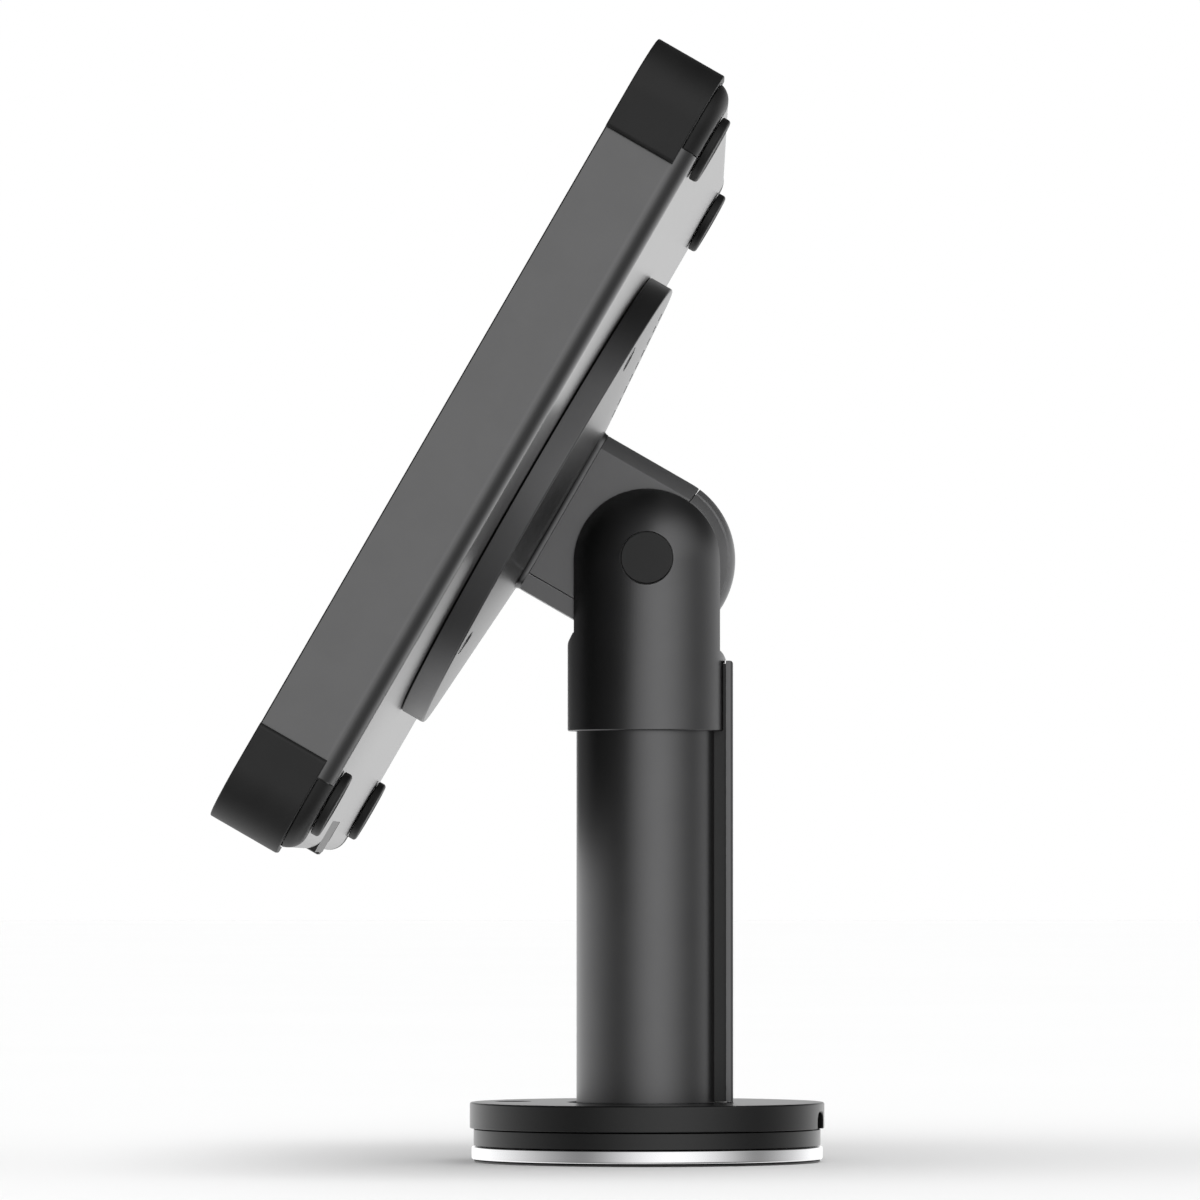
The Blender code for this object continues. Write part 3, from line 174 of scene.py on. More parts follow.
class Finish(Net):                            # a material: uniform values first, then what varies
    def __init__(self, name, colour, roughness, metallic=0.0, **uniform):
        self.material = bpy.data.materials.new(name)
        self.material.use_nodes = True
        super().__init__(self.material.node_tree)
        self.shader = self.tree.nodes["Principled BSDF"]
        self.colour = (*colour, 1.0)
        self.material.diffuse_color = self.colour
        self.put("Base Color", self.colour)
        self.put("Roughness", roughness)
        self.put("Metallic", metallic)
        for key, value in uniform.items():
            self.put(key, value)

    def put(self, name, value):
        self.feed(self.shader.inputs[name.replace("_", " ")], value)

    def tone(self, share):                    # the finish's colour, lighter or darker
        return tuple(min(1.0, c * share) for c in self.colour[:3]) + (1.0,)


# Finishes
def sprayed(name, colour, roughness, metallic, grain, depth, wear):
    # Fine sprayed or blasted coat: grain in the light, slow mottling, edges rubbed brighter.
    coat = Finish(name, colour, roughness, metallic)
    fine = coat.noise(grain, 2.0, 0.6)
    slow = coat.noise(0.012, 3.0, 0.55)
    worn = coat.edges(0.0004) * coat.clamp(coat.noise(0.004, 3.0), 0.42, 0.62) * wear
    mottled = coat.blend(coat.clamp(slow, 0.3, 0.7), coat.tone(0.98), coat.tone(1.02))
    coat.put("Base Color", coat.blend(worn, mottled, coat.tone(1.9)))
    coat.put("Roughness", roughness - 0.02 + slow * 0.015 + fine * 0.03 - worn * 0.08)
    coat.put("Normal", coat.bump(fine, depth))
    return coat.material


def moulded(name, colour, roughness, grain, depth):
    # Moulded rubber or plastic with a spark-eroded texture.
    coat = Finish(name, colour, roughness)
    cells = coat.add("ShaderNodeTexVoronoi", {"feature": "SMOOTH_F1"},
                     {"Vector": coat.where(), "Scale": 1 / grain, "Smoothness": 0.6})
    fine = coat.noise(grain * 0.6, 2.0)
    slow = coat.noise(0.009, 3.0)
    rubbed = coat.edges(0.0005) * coat.clamp(slow, 0.4, 0.65)
    shade = coat.blend(coat.clamp(slow, 0.3, 0.7), coat.tone(0.85), coat.tone(1.2))
    coat.put("Base Color", coat.blend(rubbed * 0.5, shade, coat.tone(2.2)))
    coat.put("Roughness", roughness - 0.04 + slow * 0.06 + fine * 0.04 - rubbed * 0.07)
    coat.put("Normal", coat.bump(cells * 0.7 + fine * 0.3, depth))
    return coat.material


def turnedSteel(name, colour, roughness, pitch, depth):
    # Lathe lines: the noise changes with the height and the distance from the axis only.
    steel = Finish(name, colour, roughness, 1.0)
    parts = steel.add("ShaderNodeSeparateXYZ", None, {0: steel.where()})
    x, y, z = parts, parts.also("Y"), parts.also("Z")
    reach = (x * x + y * y) ** 0.5
    lines = steel.noise(pitch, 3.0, 0.6,
                        steel.add("ShaderNodeCombineXYZ", None, {0: reach, 1: z, 2: 0.0}))
    marks = steel.noise(0.006, 4.0)
    steel.put("Roughness", roughness + lines * 0.05 + steel.clamp(marks, 0.45, 0.75) * 0.05)
    steel.put("Base Color", steel.blend(lines, steel.tone(0.93), steel.tone(1.05)))
    steel.put("Normal", steel.bump(lines, depth))
    return steel.material


def brushed(name, colour, roughness, pitch, depth):
    metal = Finish(name, colour, roughness, 1.0)
    lines = metal.noise(pitch, 2.0, 0.6, metal.stretch((1.0, 0.05, 1.0)))
    cloud = metal.noise(0.01, 3.0)
    metal.put("Base Color", metal.blend(cloud, metal.tone(0.85), metal.tone(1.12)))
    metal.put("Roughness", roughness - 0.05 + lines * 0.12 + cloud * 0.04)
    metal.put("Normal", metal.bump(lines, depth))
    return metal.material


def printedBoard():
    # Solder mask over copper lanes and rows of pads.
    board = Finish("circuit board", (0.012, 0.10, 0.045), 0.38, Coat_Weight=0.3)
    lanes = board.add("ShaderNodeTexBrick", {"offset": 0.37, "squash": 0.6},
                      {"Vector": board.stretch((0.0, 1.0, 1.0)), "Scale": 260.0,
                       "Mortar Size": 0.035, "Mortar Smooth": 0.1}, "Fac")
    pads = board.add("ShaderNodeTexVoronoi", {"feature": "F1"},
                     {"Vector": board.where(), "Scale": 420.0})
    dots = 1 - board.clamp(pads, 0.16, 0.22)
    board.put("Base Color", board.blend(dots, board.blend(lanes, board.tone(1.0), board.tone(1.9)),
                                        (0.62, 0.55, 0.34, 1)))
    board.put("Metallic", dots * 0.9)
    board.put("Roughness", 0.42 - dots * 0.12)
    board.put("Normal", board.bump(lanes + dots, 0.00002))
    return board.material


def coverGlass():
    glass = Finish("cover glass", (0.004, 0.004, 0.005), 0.035)
    smear = glass.noise(0.03, 4.0, 0.6, glass.stretch((1.0, 1.0, 0.4)))
    glass.put("Roughness", 0.03 + glass.clamp(smear, 0.5, 0.75) * 0.07)
    glass.put("Base Color", glass.blend(smear, glass.tone(0.8), glass.tone(1.4)))
    return glass.material


def lit(name, colour, strength, roughness=0.05):
    # A part of the picture: it glows through the glass and keeps the glass's gloss.
    glow = Finish(name, tuple(c * 0.08 for c in colour), roughness, Emission_Strength=strength)
    dots = glow.add("ShaderNodeTexBrick", {"offset": 0.0},
                    {"Vector": glow.where(), "Scale": 3800.0, "Mortar Size": 0.06,
                     "Brick Width": 1.0, "Row Height": 1.0}, "Fac")
    slow = glow.noise(0.12, 1.0)
    shade = glow.blend(slow, (*[c * 0.92 for c in colour], 1), (*[c * 1.06 for c in colour], 1))
    glow.put("Emission Color", glow.blend(dots * 0.35, shade, (0, 0, 0, 1)))
    glow.put("Roughness", roughness + glow.noise(0.03, 4.0) * 0.05)
    return glow.material


finishes = {
    "stand_paint": sprayed("stand paint", (0.148, 0.148, 0.150), 0.36, 1.0, 0.00042, 4e-6, 0.5),
    "arm_paint": sprayed("arm paint", (0.160, 0.160, 0.162), 0.36, 0.55, 0.00042, 4e-6, 0.5),
    "base_paint": sprayed("base paint", (0.0045, 0.0045, 0.0046), 0.30, 0.0, 0.00036, 3e-6, 0.6),
    "casing_grey": sprayed("casing grey", (0.166, 0.166, 0.167), 0.32, 1.0, 0.00034, 3e-6, 0.35),
    "black_plastic": moulded("black plastic", (0.0075, 0.0075, 0.0077), 0.42, 0.00040, 5e-6),
    "bumper_rubber": moulded("bumper rubber", (0.0052, 0.0052, 0.0053), 0.50, 0.00045, 8e-6),
    "bright_steel": turnedSteel("bright steel", (0.88, 0.88, 0.89), 0.10, 0.00022, 4e-7),
    "blackened_steel": brushed("blackened steel", (0.09, 0.09, 0.095), 0.32, 0.0003, 3e-6),
    "nylon": moulded("nylon", (0.62, 0.61, 0.56), 0.45, 0.0006, 4e-6),
    "alloy": brushed("alloy", (0.62, 0.62, 0.64), 0.34, 0.0004, 3e-6),
    "copper": brushed("copper", (0.74, 0.35, 0.19), 0.32, 0.0005, 2e-6),
    "circuit_board": printedBoard(),
    "cover_glass": coverGlass(),
    "picture_ground": lit("picture ground", (0.020, 0.034, 0.060), 1.0),
    "picture_panel": lit("picture panel", (0.075, 0.105, 0.155), 1.0),
    "picture_light": lit("picture light", (0.72, 0.76, 0.80), 0.9),
    "picture_green": lit("picture green", (0.045, 0.42, 0.16), 1.0),
    "picture_red": lit("picture red", (0.52, 0.055, 0.045), 1.0),
    "picture_amber": lit("picture amber", (0.70, 0.36, 0.04), 1.0),
}
print("finishes made:", len(finishes))


# Mesh tools
def eased(points, steps=4):                   # corners (a, b, radius) of a closed outline
    outline = []
    for i, point in enumerate(points):
        if len(point) < 3:
            outline.append(tuple(point))
            continue
        here = Vector(point[:2])
        before = (Vector(points[i - 1][:2]) - here).normalized()
        after = (Vector(points[(i + 1) % len(points)][:2]) - here).normalized()
        half = before.angle(after) / 2
        centre = here + (before + after).normalized() * point[2] / sin(half)
        start = here + before * point[2] / tan(half) - centre
        end = here + after * point[2] / tan(half) - centre
        turn = start.angle(end)
        for k in range(steps + 1):
            t = k / steps
            arm = (start * sin((1 - t) * turn) + end * sin(t * turn)) / sin(turn)
            outline.append(tuple(centre + arm))
    return outline


def roundBox(halfA, halfB, radius, steps):    # rectangle with round corners, anticlockwise
    points = []
    for k, (sa, sb) in enumerate(((1, 1), (-1, 1), (-1, -1), (1, -1))):
        for i in range(steps + 1):
            angle = pi / 2 * (k + i / steps)
            points.append((sa * (halfA - radius) + radius * cos(angle),
                           sb * (halfB - radius) + radius * sin(angle)))
    return points


def loft(rings, closed=False):
    bm = bmesh.new()
    rows = [[bm.verts.new(p) for p in ring] for ring in rings]
    size = len(rings[0])
    pairs = list(zip(rows, rows[1:]))
    if closed:
        pairs.append((rows[-1], rows[0]))
    else:
        bm.faces.new(rows[0])
        bm.faces.new(rows[-1])
    for low, high in pairs:
        for i in range(size):
            j = (i + 1) % size
            bm.faces.new((low[i], low[j], high[j], high[i]))
    return bm


def lathe(profile, sides, axis="Z", centre=(0, 0, 0), bored=False):
    bm = bmesh.new()
    centre = Vector(centre)
    rows = []
    for radius, height in profile:
        row = []
        for i in range(sides if radius > 1e-7 else 1):
            a, b = radius * cos(2 * pi * i / sides), radius * sin(2 * pi * i / sides)
            place = {"X": (height, a, b), "Y": (b, height, a), "Z": (a, b, height)}[axis]
            row.append(bm.verts.new(Vector(place) + centre))
        rows.append(row)
    pairs = list(zip(rows, rows[1:]))
    if bored:
        pairs.append((rows[-1], rows[0]))
    for low, high in pairs:
        for i in range(sides):
            j = (i + 1) % sides
            ends = [low[i % len(low)], low[j % len(low)], high[j % len(high)], high[i % len(high)]]
            face = list(dict.fromkeys(ends))
            if len(face) > 2:
                bm.faces.new(face)
    return bm


def prism(outline, low, high, axis, flare=0.0):   # a flare widens the far end like a chamfer
    def ring(height, grow):
        middle = sum((Vector(p) for p in outline), Vector((0, 0))) / len(outline)
        points = []
        for p in outline:
            out = (Vector(p) - middle)
            a, b = Vector(p) + out.normalized() * grow if grow else Vector(p)
            points.append({"X": (height, a, b), "Y": (b, height, a), "Z": (a, b, height)}[axis])
        return points
    if not flare:
        return loft([ring(low, 0), ring(high, 0)])
    edge = high - flare
    return loft([ring(low, 0), ring(edge, 0), ring(high, flare), ring(high + flare, flare)])


def block(low, high, bevel=0.0, segments=3):
    bm = bmesh.new()
    bmesh.ops.create_cube(bm, size=1.0)
    size, middle = Vector(high) - Vector(low), (Vector(high) + Vector(low)) / 2
    bmesh.ops.transform(bm, matrix=Matrix.Translation(middle) @ Matrix.Diagonal((*size, 1.0)),
                        verts=bm.verts)
    if bevel:
        bmesh.ops.bevel(bm, geom=bm.edges[:], offset=bevel, segments=segments, profile=0.5,
                        affect="EDGES")
    return bm


def together(shapes):                         # several shapes that don't touch, as one
    whole = bmesh.new()
    for bm in shapes:
        scrap = bpy.data.meshes.new("scrap")
        bm.to_mesh(scrap)
        bm.free()
        whole.from_mesh(scrap)
        bpy.data.meshes.remove(scrap)
    return whole


def turnedBy(bm, matrix):
    bmesh.ops.transform(bm, matrix=matrix, verts=bm.verts)
    return bm


def raw(name, bm, place=upright):             # an object without its finish yet
    bmesh.ops.recalc_face_normals(bm, faces=bm.faces)
    mesh = bpy.data.meshes.new(name)
    bm.to_mesh(mesh)
    bm.free()
    made = bpy.data.objects.new(name, mesh)
    made.matrix_world = place
    bpy.context.scene.collection.objects.link(made)
    return made


def settle(made):                             # keep what the modifiers give
    bpy.context.view_layer.update()
    graph = bpy.context.evaluated_depsgraph_get()
    fresh = bpy.data.meshes.new_from_object(made.evaluated_get(graph))
    made.modifiers.clear()
    made.data = fresh


def work(made, bm, operation="DIFFERENCE"):   # cut a shape out of a piece, or join it on
    tool = raw(made.name + "_tool", bm, made.matrix_world)
    change = made.modifiers.new("work", "BOOLEAN")
    change.operation = operation
    change.solver = "EXACT"
    change.object = tool
    settle(made)
    bpy.data.objects.remove(tool)


def soften(made, width, segments=2, angle=40):
    change = made.modifiers.new("soften", "BEVEL")
    change.width = width
    change.segments = segments
    change.limit_method = "ANGLE"
    change.angle_limit = radians(angle)
    change.use_clamp_overlap = True
    settle(made)


def handOver(made, finish, body, stands=(), crease=32):
    made.data.materials.clear()
    made.data.materials.append(finishes[finish])
    made.data.shade_smooth()
    made.data.set_sharp_from_angle(angle=radians(crease))
    even = made.modifiers.new("even", "WEIGHTED_NORMAL")
    even.keep_sharp = True
    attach(made, body)
    if stands:
        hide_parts(*stands)
    return made


# Base
base = {"sides": 168, "edge": 0.0006, "lipEdge": 0.00025, "bore": 0.0250, "wide": 0.0318,
        "washerThick": 0.0008, "notchTurn": -12.0, "notchWidth": 0.0087,
        "notchHeight": 0.0051, "notchRound": 0.0030, "notchEdge": 0.0004, "fixing": 0.0427,
        "access": 0.0055, "accessDepth": 0.0050, "accessEdge": 0.00035, "screwHole": 0.0028,
        "countersink": 0.0043, "screwSlim": 0.0023, "grooves": 4, "grooveDepth": 0.0004}


def onBase(angle):                            # centre of a screw in the base
    return Vector((cos(radians(angle)), sin(radians(angle)), 0)) * base["fixing"]


def makeBase(s):
    low, high = span("top_cover")
    reach, sides = high.x, s["sides"]
    ceiling = low.z + s["washerThick"] / 2 + gap
    profile = eased([(s["wide"], low.z), (reach, low.z, s["lipEdge"]), (reach, high.z, s["edge"]),
                     (s["bore"], high.z, s["lipEdge"]), (s["bore"], ceiling), (s["wide"], ceiling)])
    cover = raw("base_top", lathe(profile, sides, bored=True))
    half, steps = s["notchWidth"] / 2, 8
    arch = [(-half, low.z - 2 * gap), (half, low.z - 2 * gap)]
    r, top = s["notchRound"], low.z + s["notchHeight"] - s["notchRound"]
    arch += [(half - r + r * cos(pi / 2 * i / steps), top + r * sin(pi / 2 * i / steps))
             for i in range(steps + 1)]
    arch += [(r - half - r * sin(pi / 2 * i / steps), top + r * cos(pi / 2 * i / steps))
             for i in range(steps + 1)]
    inner, e = s["bore"] - r, s["notchEdge"]
    rings = [[(x, y * (1 + grow / half), z + (grow if z > low.z else 0)) for y, z in arch]
             for x, grow in ((inner, 0), (reach - e, 0), (reach + e, 2 * e), (reach + r, 2 * e))]
    work(cover, turnedBy(loft(rings), Matrix.Rotation(radians(s["notchTurn"]), 4, "Z")))
    seat, e = high.z - s["accessDepth"], s["accessEdge"]
    hole = [(0, low.z - gap), (s["screwHole"], low.z - gap), (s["screwHole"], seat),
            (s["access"], seat), (s["access"], high.z - e), (s["access"] + 2 * e, high.z + e),
            (0, high.z + e)]
    work(cover, lathe(hole, 64, centre=onBase(s["notchTurn"] + 180)))
    screws = [span(f"base_screw_{n}") for n in range(1, 5)]
    tips = [lathe([(0, low.z - gap), (s["screwSlim"], low.z - gap), (s["screwSlim"], b.z + gap),
                   (0, b.z + gap)], 24, centre=((a.x + b.x) / 2, (a.y + b.y) / 2, 0))
            for a, b in screws]
    work(cover, together(tips))
    handOver(cover, "base_paint", "base", ["top_cover"])

    low, high = span("base_ring")
    profile = eased([(s["wide"] + gap, low.z), (high.x, low.z, s["lipEdge"]),
                     (high.x, high.z, s["lipEdge"]), (s["wide"] + gap, high.z)])
    collar = raw("base_collar", lathe(profile, sides, bored=True))
    bores = [lathe([(0, low.z - gap), (s["screwSlim"], low.z - gap), (s["screwSlim"], high.z + gap),
                    (0, high.z + gap)], 24, centre=((a.x + b.x) / 2, (a.y + b.y) / 2, 0))
             for a, b in screws]
    bores.append(lathe([(0, low.z - gap), (s["screwHole"], low.z - gap),
                        (s["screwHole"], high.z + gap), (0, high.z + gap)], 24,
                       centre=onBase(s["notchTurn"] + 180)))
    work(collar, together(bores))
    handOver(collar, "base_paint", "base", ["base_ring"])

    low, high = span("base_plate")
    pad = span("counter_pad")
    profile = eased([(0, low.z), (high.x, low.z, 0.0006), (high.x, high.z, 0.0003), (0, high.z)])
    weight = raw("base_weight", lathe(profile, sides))
    sinks = [lathe([(0, pad[1].z), (s["countersink"], pad[1].z), (s["countersink"], a.z),
                    (s["screwSlim"], a.z + s["countersink"] - s["screwSlim"]),
                    (s["screwSlim"], high.z + gap), (0, high.z + gap)], 32,
                   centre=((a.x + b.x) / 2, (a.y + b.y) / 2, 0)) for a, b in screws]
    work(weight, together(sinks))
    handOver(weight, "bright_steel", "base", ["base_plate"])

    low, high = pad
    edge, deep = 0.0004, s["grooveDepth"]
    outline = [(0, high.z), (high.x, high.z), (high.x, edge), (high.x - edge, 0)]
    for k in range(s["grooves"]):             # ring grooves in the sole
        middle = high.x * (0.86 - 0.2 * k)
        outline += [(middle + 2 * deep, 0), (middle + deep, deep), (middle - deep, deep),
                    (middle - 2 * deep, 0)]
    outline.append((0, 0))
    handOver(raw("base_sole", lathe(outline, 120)), "bumper_rubber", "base", ["counter_pad"])

    low, high = span("access_plug")
    middle, reach = (low + high) / 2, (high.x - low.x) / 2
    profile = [(0, low.z), (reach, low.z), (reach, high.z - 0.0002), (reach - 0.0002, high.z),
               (reach * 0.55, high.z), (0, high.z - 0.00015)]
    plug = raw("hole_plug", lathe(profile, 64), Matrix.Translation((middle.x, middle.y, 0)))
    handOver(plug, "bumper_rubber", "base", ["access_plug"])


makeBase(base)
print("base made")


# Pole
pole = {"radius": 0.0219, "wall": 0.0030, "flatDepth": 0.0011, "steps": 140,
        "endEdge": 0.0003, "footWidth": 0.0028, "footEdge": 0.0003, "headRoom": 0.0083,
        "boltBore": 0.0043, "headHeight": 0.0053, "spigotGap": 0.0003, "stripEdge": 0.0012,
        "stripTop": 0.0010, "ductWall": 0.0016, "ductBed": 0.0008, "hairline": 0.00002}


def poleOutline(s):
    flat = s["radius"] - s["flatDepth"]
    first = acos(flat / s["radius"])
    arc = [first + (2 * pi - 2 * first) * i / s["steps"] for i in range(s["steps"] + 1)]
    return [(s["radius"] * cos(a), s["radius"] * sin(a)) for a in arc]


def makePole(s):
    low, high = span("pole_tube")
    outline = poleOutline(s)
    bore = s["radius"] - s["wall"]
    inner = [tuple(Vector(p).normalized() * bore) for p in outline]
    e = s["endEdge"]
    trimmed = [tuple(Vector(p) * (1 - e / s["radius"])) for p in outline]
    rings = [(trimmed, low.z), (outline, low.z + e), (outline, high.z), (inner, high.z),
             (inner, low.z)]
    tube = raw("pole_column", loft([[(*p, z) for p in ring] for ring, z in rings], closed=True))
    handOver(tube, "stand_paint", "pole", ["pole_tube"], crease=24)

    low, high = span("pole_foot")
    rim = s["radius"] + s["footWidth"]
    shelf, seat = span("hold_washer")[0].z - gap, span("pole_tube")[0].z - gap
    roof = low.z + s["headHeight"]
    profile = eased([(s["headRoom"], low.z), (high.x, low.z, 0.0003), (high.x, shelf, 0.0003),
                     (rim, shelf), (rim, seat, s["footEdge"]), (bore - s["spigotGap"], seat),
                     (bore - s["spigotGap"], high.z, 0.0006), (s["boltBore"], high.z),
                     (s["boltBore"], roof), (s["headRoom"], roof)])
    foot = raw("pole_flange", lathe(profile, 128, bored=True))
    slotLow = Vector((s["radius"] + 0.0005, -0.0050, shelf + 0.0014))
    work(foot, block(slotLow, (rim + 2 * gap, 0.0050, seat + 2 * gap)))
    handOver(foot, "base_paint", "pole", ["pole_foot"])

    low, high = span("channel_cover")
    e, r = s["stripEdge"], s["stripTop"]
    section = eased([(low.x, low.y), (high.x, low.y, e), (high.x, high.y, e), (low.x, high.y)])
    count = 5                                 # the top end is rounded over to the rear
    rings = [[(x, y, low.z) for x, y in section]]
    for k in range(count + 1):
        angle = pi / 2 * k / count
        back = high.x - r * (1 - cos(angle))
        rings.append([(min(x, back), y, high.z - r + r * sin(angle)) for x, y in section])
    strip = raw("duct_strip", loft(rings))
    handOver(strip, "stand_paint", "pole", ["channel_cover"])

    near, far = s["radius"] - s["flatDepth"] + s["hairline"], low.x - s["hairline"]
    low, high = span("cable_channel")
    half, inner, bed = high.y, high.y - s["ductWall"], near + s["ductBed"]
    section = [(near, -half), (far, -half), (far, -inner), (bed, -inner), (bed, inner),
               (far, inner), (far, half), (near, half)]
    handOver(raw("cable_duct", prism(section, low.z, high.z, "Z")), "black_plastic", "pole",
             ["cable_channel"])


makePole(pole)
print("pole made")


# Fork head
fork = {"radius": 0.02466, "collarEdge": 0.0005, "domeDrop": 0.0008, "sides": 160,
        "domeSteps": 28, "earFace": 0.0097, "slotFloor": 0.02805, "boltBore": 0.0053,
        "front": [(-0.0166, 0.0), (-0.0031, 0.0052), (-0.0024, 0.0055), (-0.0017, 0.0053),
                  (-0.0003, 0.0027), (0.0002, 0.0009), (0.0009, -0.0020)],
        "rear": [(0.0011, -0.0060), (0.0001, -0.0037), (-0.0003, -0.0026), (-0.0010, -0.0013),
                 (-0.0018, -0.0004), (-0.0029, 0.0)],
        "capBore": 0.0083, "headThick": 0.0029, "edge": 0.0004, "boreEdge": 0.0002,
        "stripHalf": 0.0079, "stripSlot": 0.0192, "ductHalf": 0.0069,
        "tieBore": 0.0043, "tieDeep": 0.0049}


def forkRing(reach, height, count):
    return [(reach * cos(2 * pi * i / count), reach * sin(2 * pi * i / count), height)
            for i in range(count)]


def makeFork(s):
    low, high = span("fork_head")
    count, foot, e = s["sides"], low.z, s["collarEdge"]
    rings = [forkRing(s["radius"] - e * (1 - sin(t)), foot + e * (1 - cos(t)), count)
             for t in (0, pi / 6, pi / 3, pi / 2)]
    centre = pivotPoint.z - s["domeDrop"]
    for i in range(s["domeSteps"]):
        angle = pi / 2 * i / s["domeSteps"]
        rings.append(forkRing(s["radius"] * cos(angle), centre + s["radius"] * sin(angle), count))
    head = raw("fork_yoke", loft(rings))
    socket, tubeTop = pole["radius"] + gap, span("pole_tube")[1].z
    reach = s["radius"] + 0.0044
    work(head, lathe([(0, foot - e), (socket + e, foot - e), (socket, foot + e),
                      (socket, tubeTop + gap), (s["tieBore"], tubeTop + gap),
                      (s["tieBore"], tubeTop + s["tieDeep"]), (0, tubeTop + s["tieDeep"])], count))
    strip = span("channel_cover")
    work(head, block((s["stripSlot"], -s["ductHalf"], foot - 2 * gap),
                     (strip[0].x, s["ductHalf"], span("cable_channel")[1].z + gap)))
    work(head, block((strip[0].x - gap, -s["stripHalf"], foot - 2 * gap),
                     (reach, s["stripHalf"], strip[1].z + gap)))
    floor = pivotPoint.z - s["slotFloor"]
    outline = [(floor + rise, -s["radius"] - over) for over, rise in s["front"]]
    outline += [(pivotPoint.z + reach, -s["radius"] - s["front"][-1][0]),
                (pivotPoint.z + reach, s["radius"] + s["rear"][0][0])]
    outline += [(floor + rise, s["radius"] + over) for over, rise in s["rear"]]
    work(head, prism(outline, -s["earFace"], s["earFace"], "Y"))
    soften(head, s["edge"], 2, 50)
    face = span("pivot_cap_left")[1].y
    seat = span("pivot_cap_left")[0].y - gap - s["headThick"]
    e = s["boreEdge"]
    bore = [(0, -reach), (s["capBore"] + e, -reach), (s["capBore"] + e, -face - 0.0012),
            (s["capBore"], -face), (s["capBore"], -seat), (s["boltBore"], -seat)]
    bore += [(r, -h) for r, h in reversed(bore)]
    work(head, lathe(bore, 96, "Y", centre=pivotPoint))
    handOver(head, "stand_paint", "pole", ["fork_head"], crease=26)

    for side, node in ((-1, "pivot_cap_right"), (1, "pivot_cap_left")):
        low, high = span(node)
        reach = (high.x - low.x) / 2
        inside, outside = (low.y, high.y) if side > 0 else (high.y, low.y)
        profile = eased([(0, inside), (reach, inside), (reach, outside, 0.0003), (0, outside)])
        cap = raw(node.replace("pivot_cap", "pivot_plug"), lathe(profile, 96, "Y"),
                  Matrix.Translation(pivotPoint))
        handOver(cap, "black_plastic", "pole", [node])


makeFork(fork)
print("fork made")


# Knuckle and disc
knuckle = {"half": 0.0083, "radius": 0.02745, "start": -0.0296, "notch": 83.7, "cover": 0.0020,
           "under": 0.0053, "fall": 0.0049, "power": 1.8, "crownSteps": 14, "roundSteps": 48,
           "groove": 0.0050, "grooveHalf": 0.0004, "grooveDeep": 0.0005,
           "fadeFrom": -60.0, "fadeOver": 20.0, "boltBore": 0.0053, "edge": 0.00022,
           "screwBore": 0.0027}


def stations(s, reach, start, end, steps):    # side outline: x, z, normal, share of the crown
    made = []
    for i in range(steps + 1):
        angle = start + (end - start) * i / steps
        n = (cos(radians(angle)), sin(radians(angle)))
        share = min(1.0, max(0.0, (angle - s["fadeFrom"]) / s["fadeOver"]))
        made.append((reach * n[0], reach * n[1], n, share * share * (3 - 2 * share)))
    return made


def crowned(s, outline, grooved=0):           # lofted across the width, falling to both sides
    places = [(s["half"] * j / s["crownSteps"], 0) for j in range(s["crownSteps"] + 1)]
    if grooved:                               # a fine line along the first stations
        inside, outside = s["groove"] - s["grooveHalf"], s["groove"] + s["grooveHalf"]
        places = [p for p in places if not inside - 0.0001 < p[0] < outside + 0.0001]
        places += [(inside, 0), (inside + 0.0001, s["grooveDeep"]),
                   (outside - 0.0001, s["grooveDeep"]), (outside, 0)]
    places = sorted(places + [(-y, deep) for y, deep in places if y > 0])
    rings = []
    for across, deep in places:
        fall = s["fall"] * abs(across / s["half"]) ** s["power"]
        falls = [(fall + (deep if i < grooved else 0)) * point[3]
                 for i, point in enumerate(outline)]
        rings.append([(x - n[0] * f, across, z - n[1] * f)
                      for (x, z, n, _), f in zip(outline, falls)])
    return loft(rings)


def makeKnuckle(s):
    up, down = (0, 1), (0, -1)
    inner = s["radius"] - s["cover"] - gap
    bed = s["radius"] - s["under"] - gap
    end = -acos(sqrt(inner ** 2 - bed ** 2) / inner) * 180 / pi
    body = [(s["start"], -bed, down, 0), (s["start"], s["radius"], up, 1)]
    body += stations(s, s["radius"], 90, s["notch"], 4)
    body += stations(s, inner, s["notch"], end, s["roundSteps"])
    body[-1] = (body[-1][0], -bed, down, 0)
    arm = raw("knuckle_arm", crowned(s, body), headFrame)
    soften(arm, s["edge"], 2, 35)
    wide = 0.02                               # well past both sides
    work(arm, lathe([(0, -wide), (s["boltBore"], -wide), (s["boltBore"], wide), (0, wide)], 64,
                    "Y"))
    screws = [span(name, headFrame) for name in ("neck_screw_upper", "neck_screw_lower")]
    work(arm, together([lathe([(0, s["start"] - gap), (s["screwBore"], s["start"] - gap),
                               (s["screwBore"], b.x + gap), (0, b.x + gap)], 24, "X",
                              (0, 0, (a.z + b.z) / 2)) for a, b in screws]))
    handOver(arm, "arm_paint", "head", ["tilt_knuckle"], 26)

    first = s["notch"] - gap / s["radius"] * 180 / pi
    lining = stations(s, inner + gap, end, first, s["roundSteps"])
    lining[0] = (lining[0][0], -bed - gap, down, 0)
    skin = stations(s, s["radius"], first, -90, s["roundSteps"] + 8)
    skin += [(s["start"], -s["radius"], down, 0), (s["start"], -bed - gap, down, 0)]
    strip = raw("knuckle_strip", crowned(s, skin + lining, s["roundSteps"] + 9), headFrame)
    handOver(strip, "arm_paint", "head", ["knuckle_cover"], 26)


makeKnuckle(knuckle)

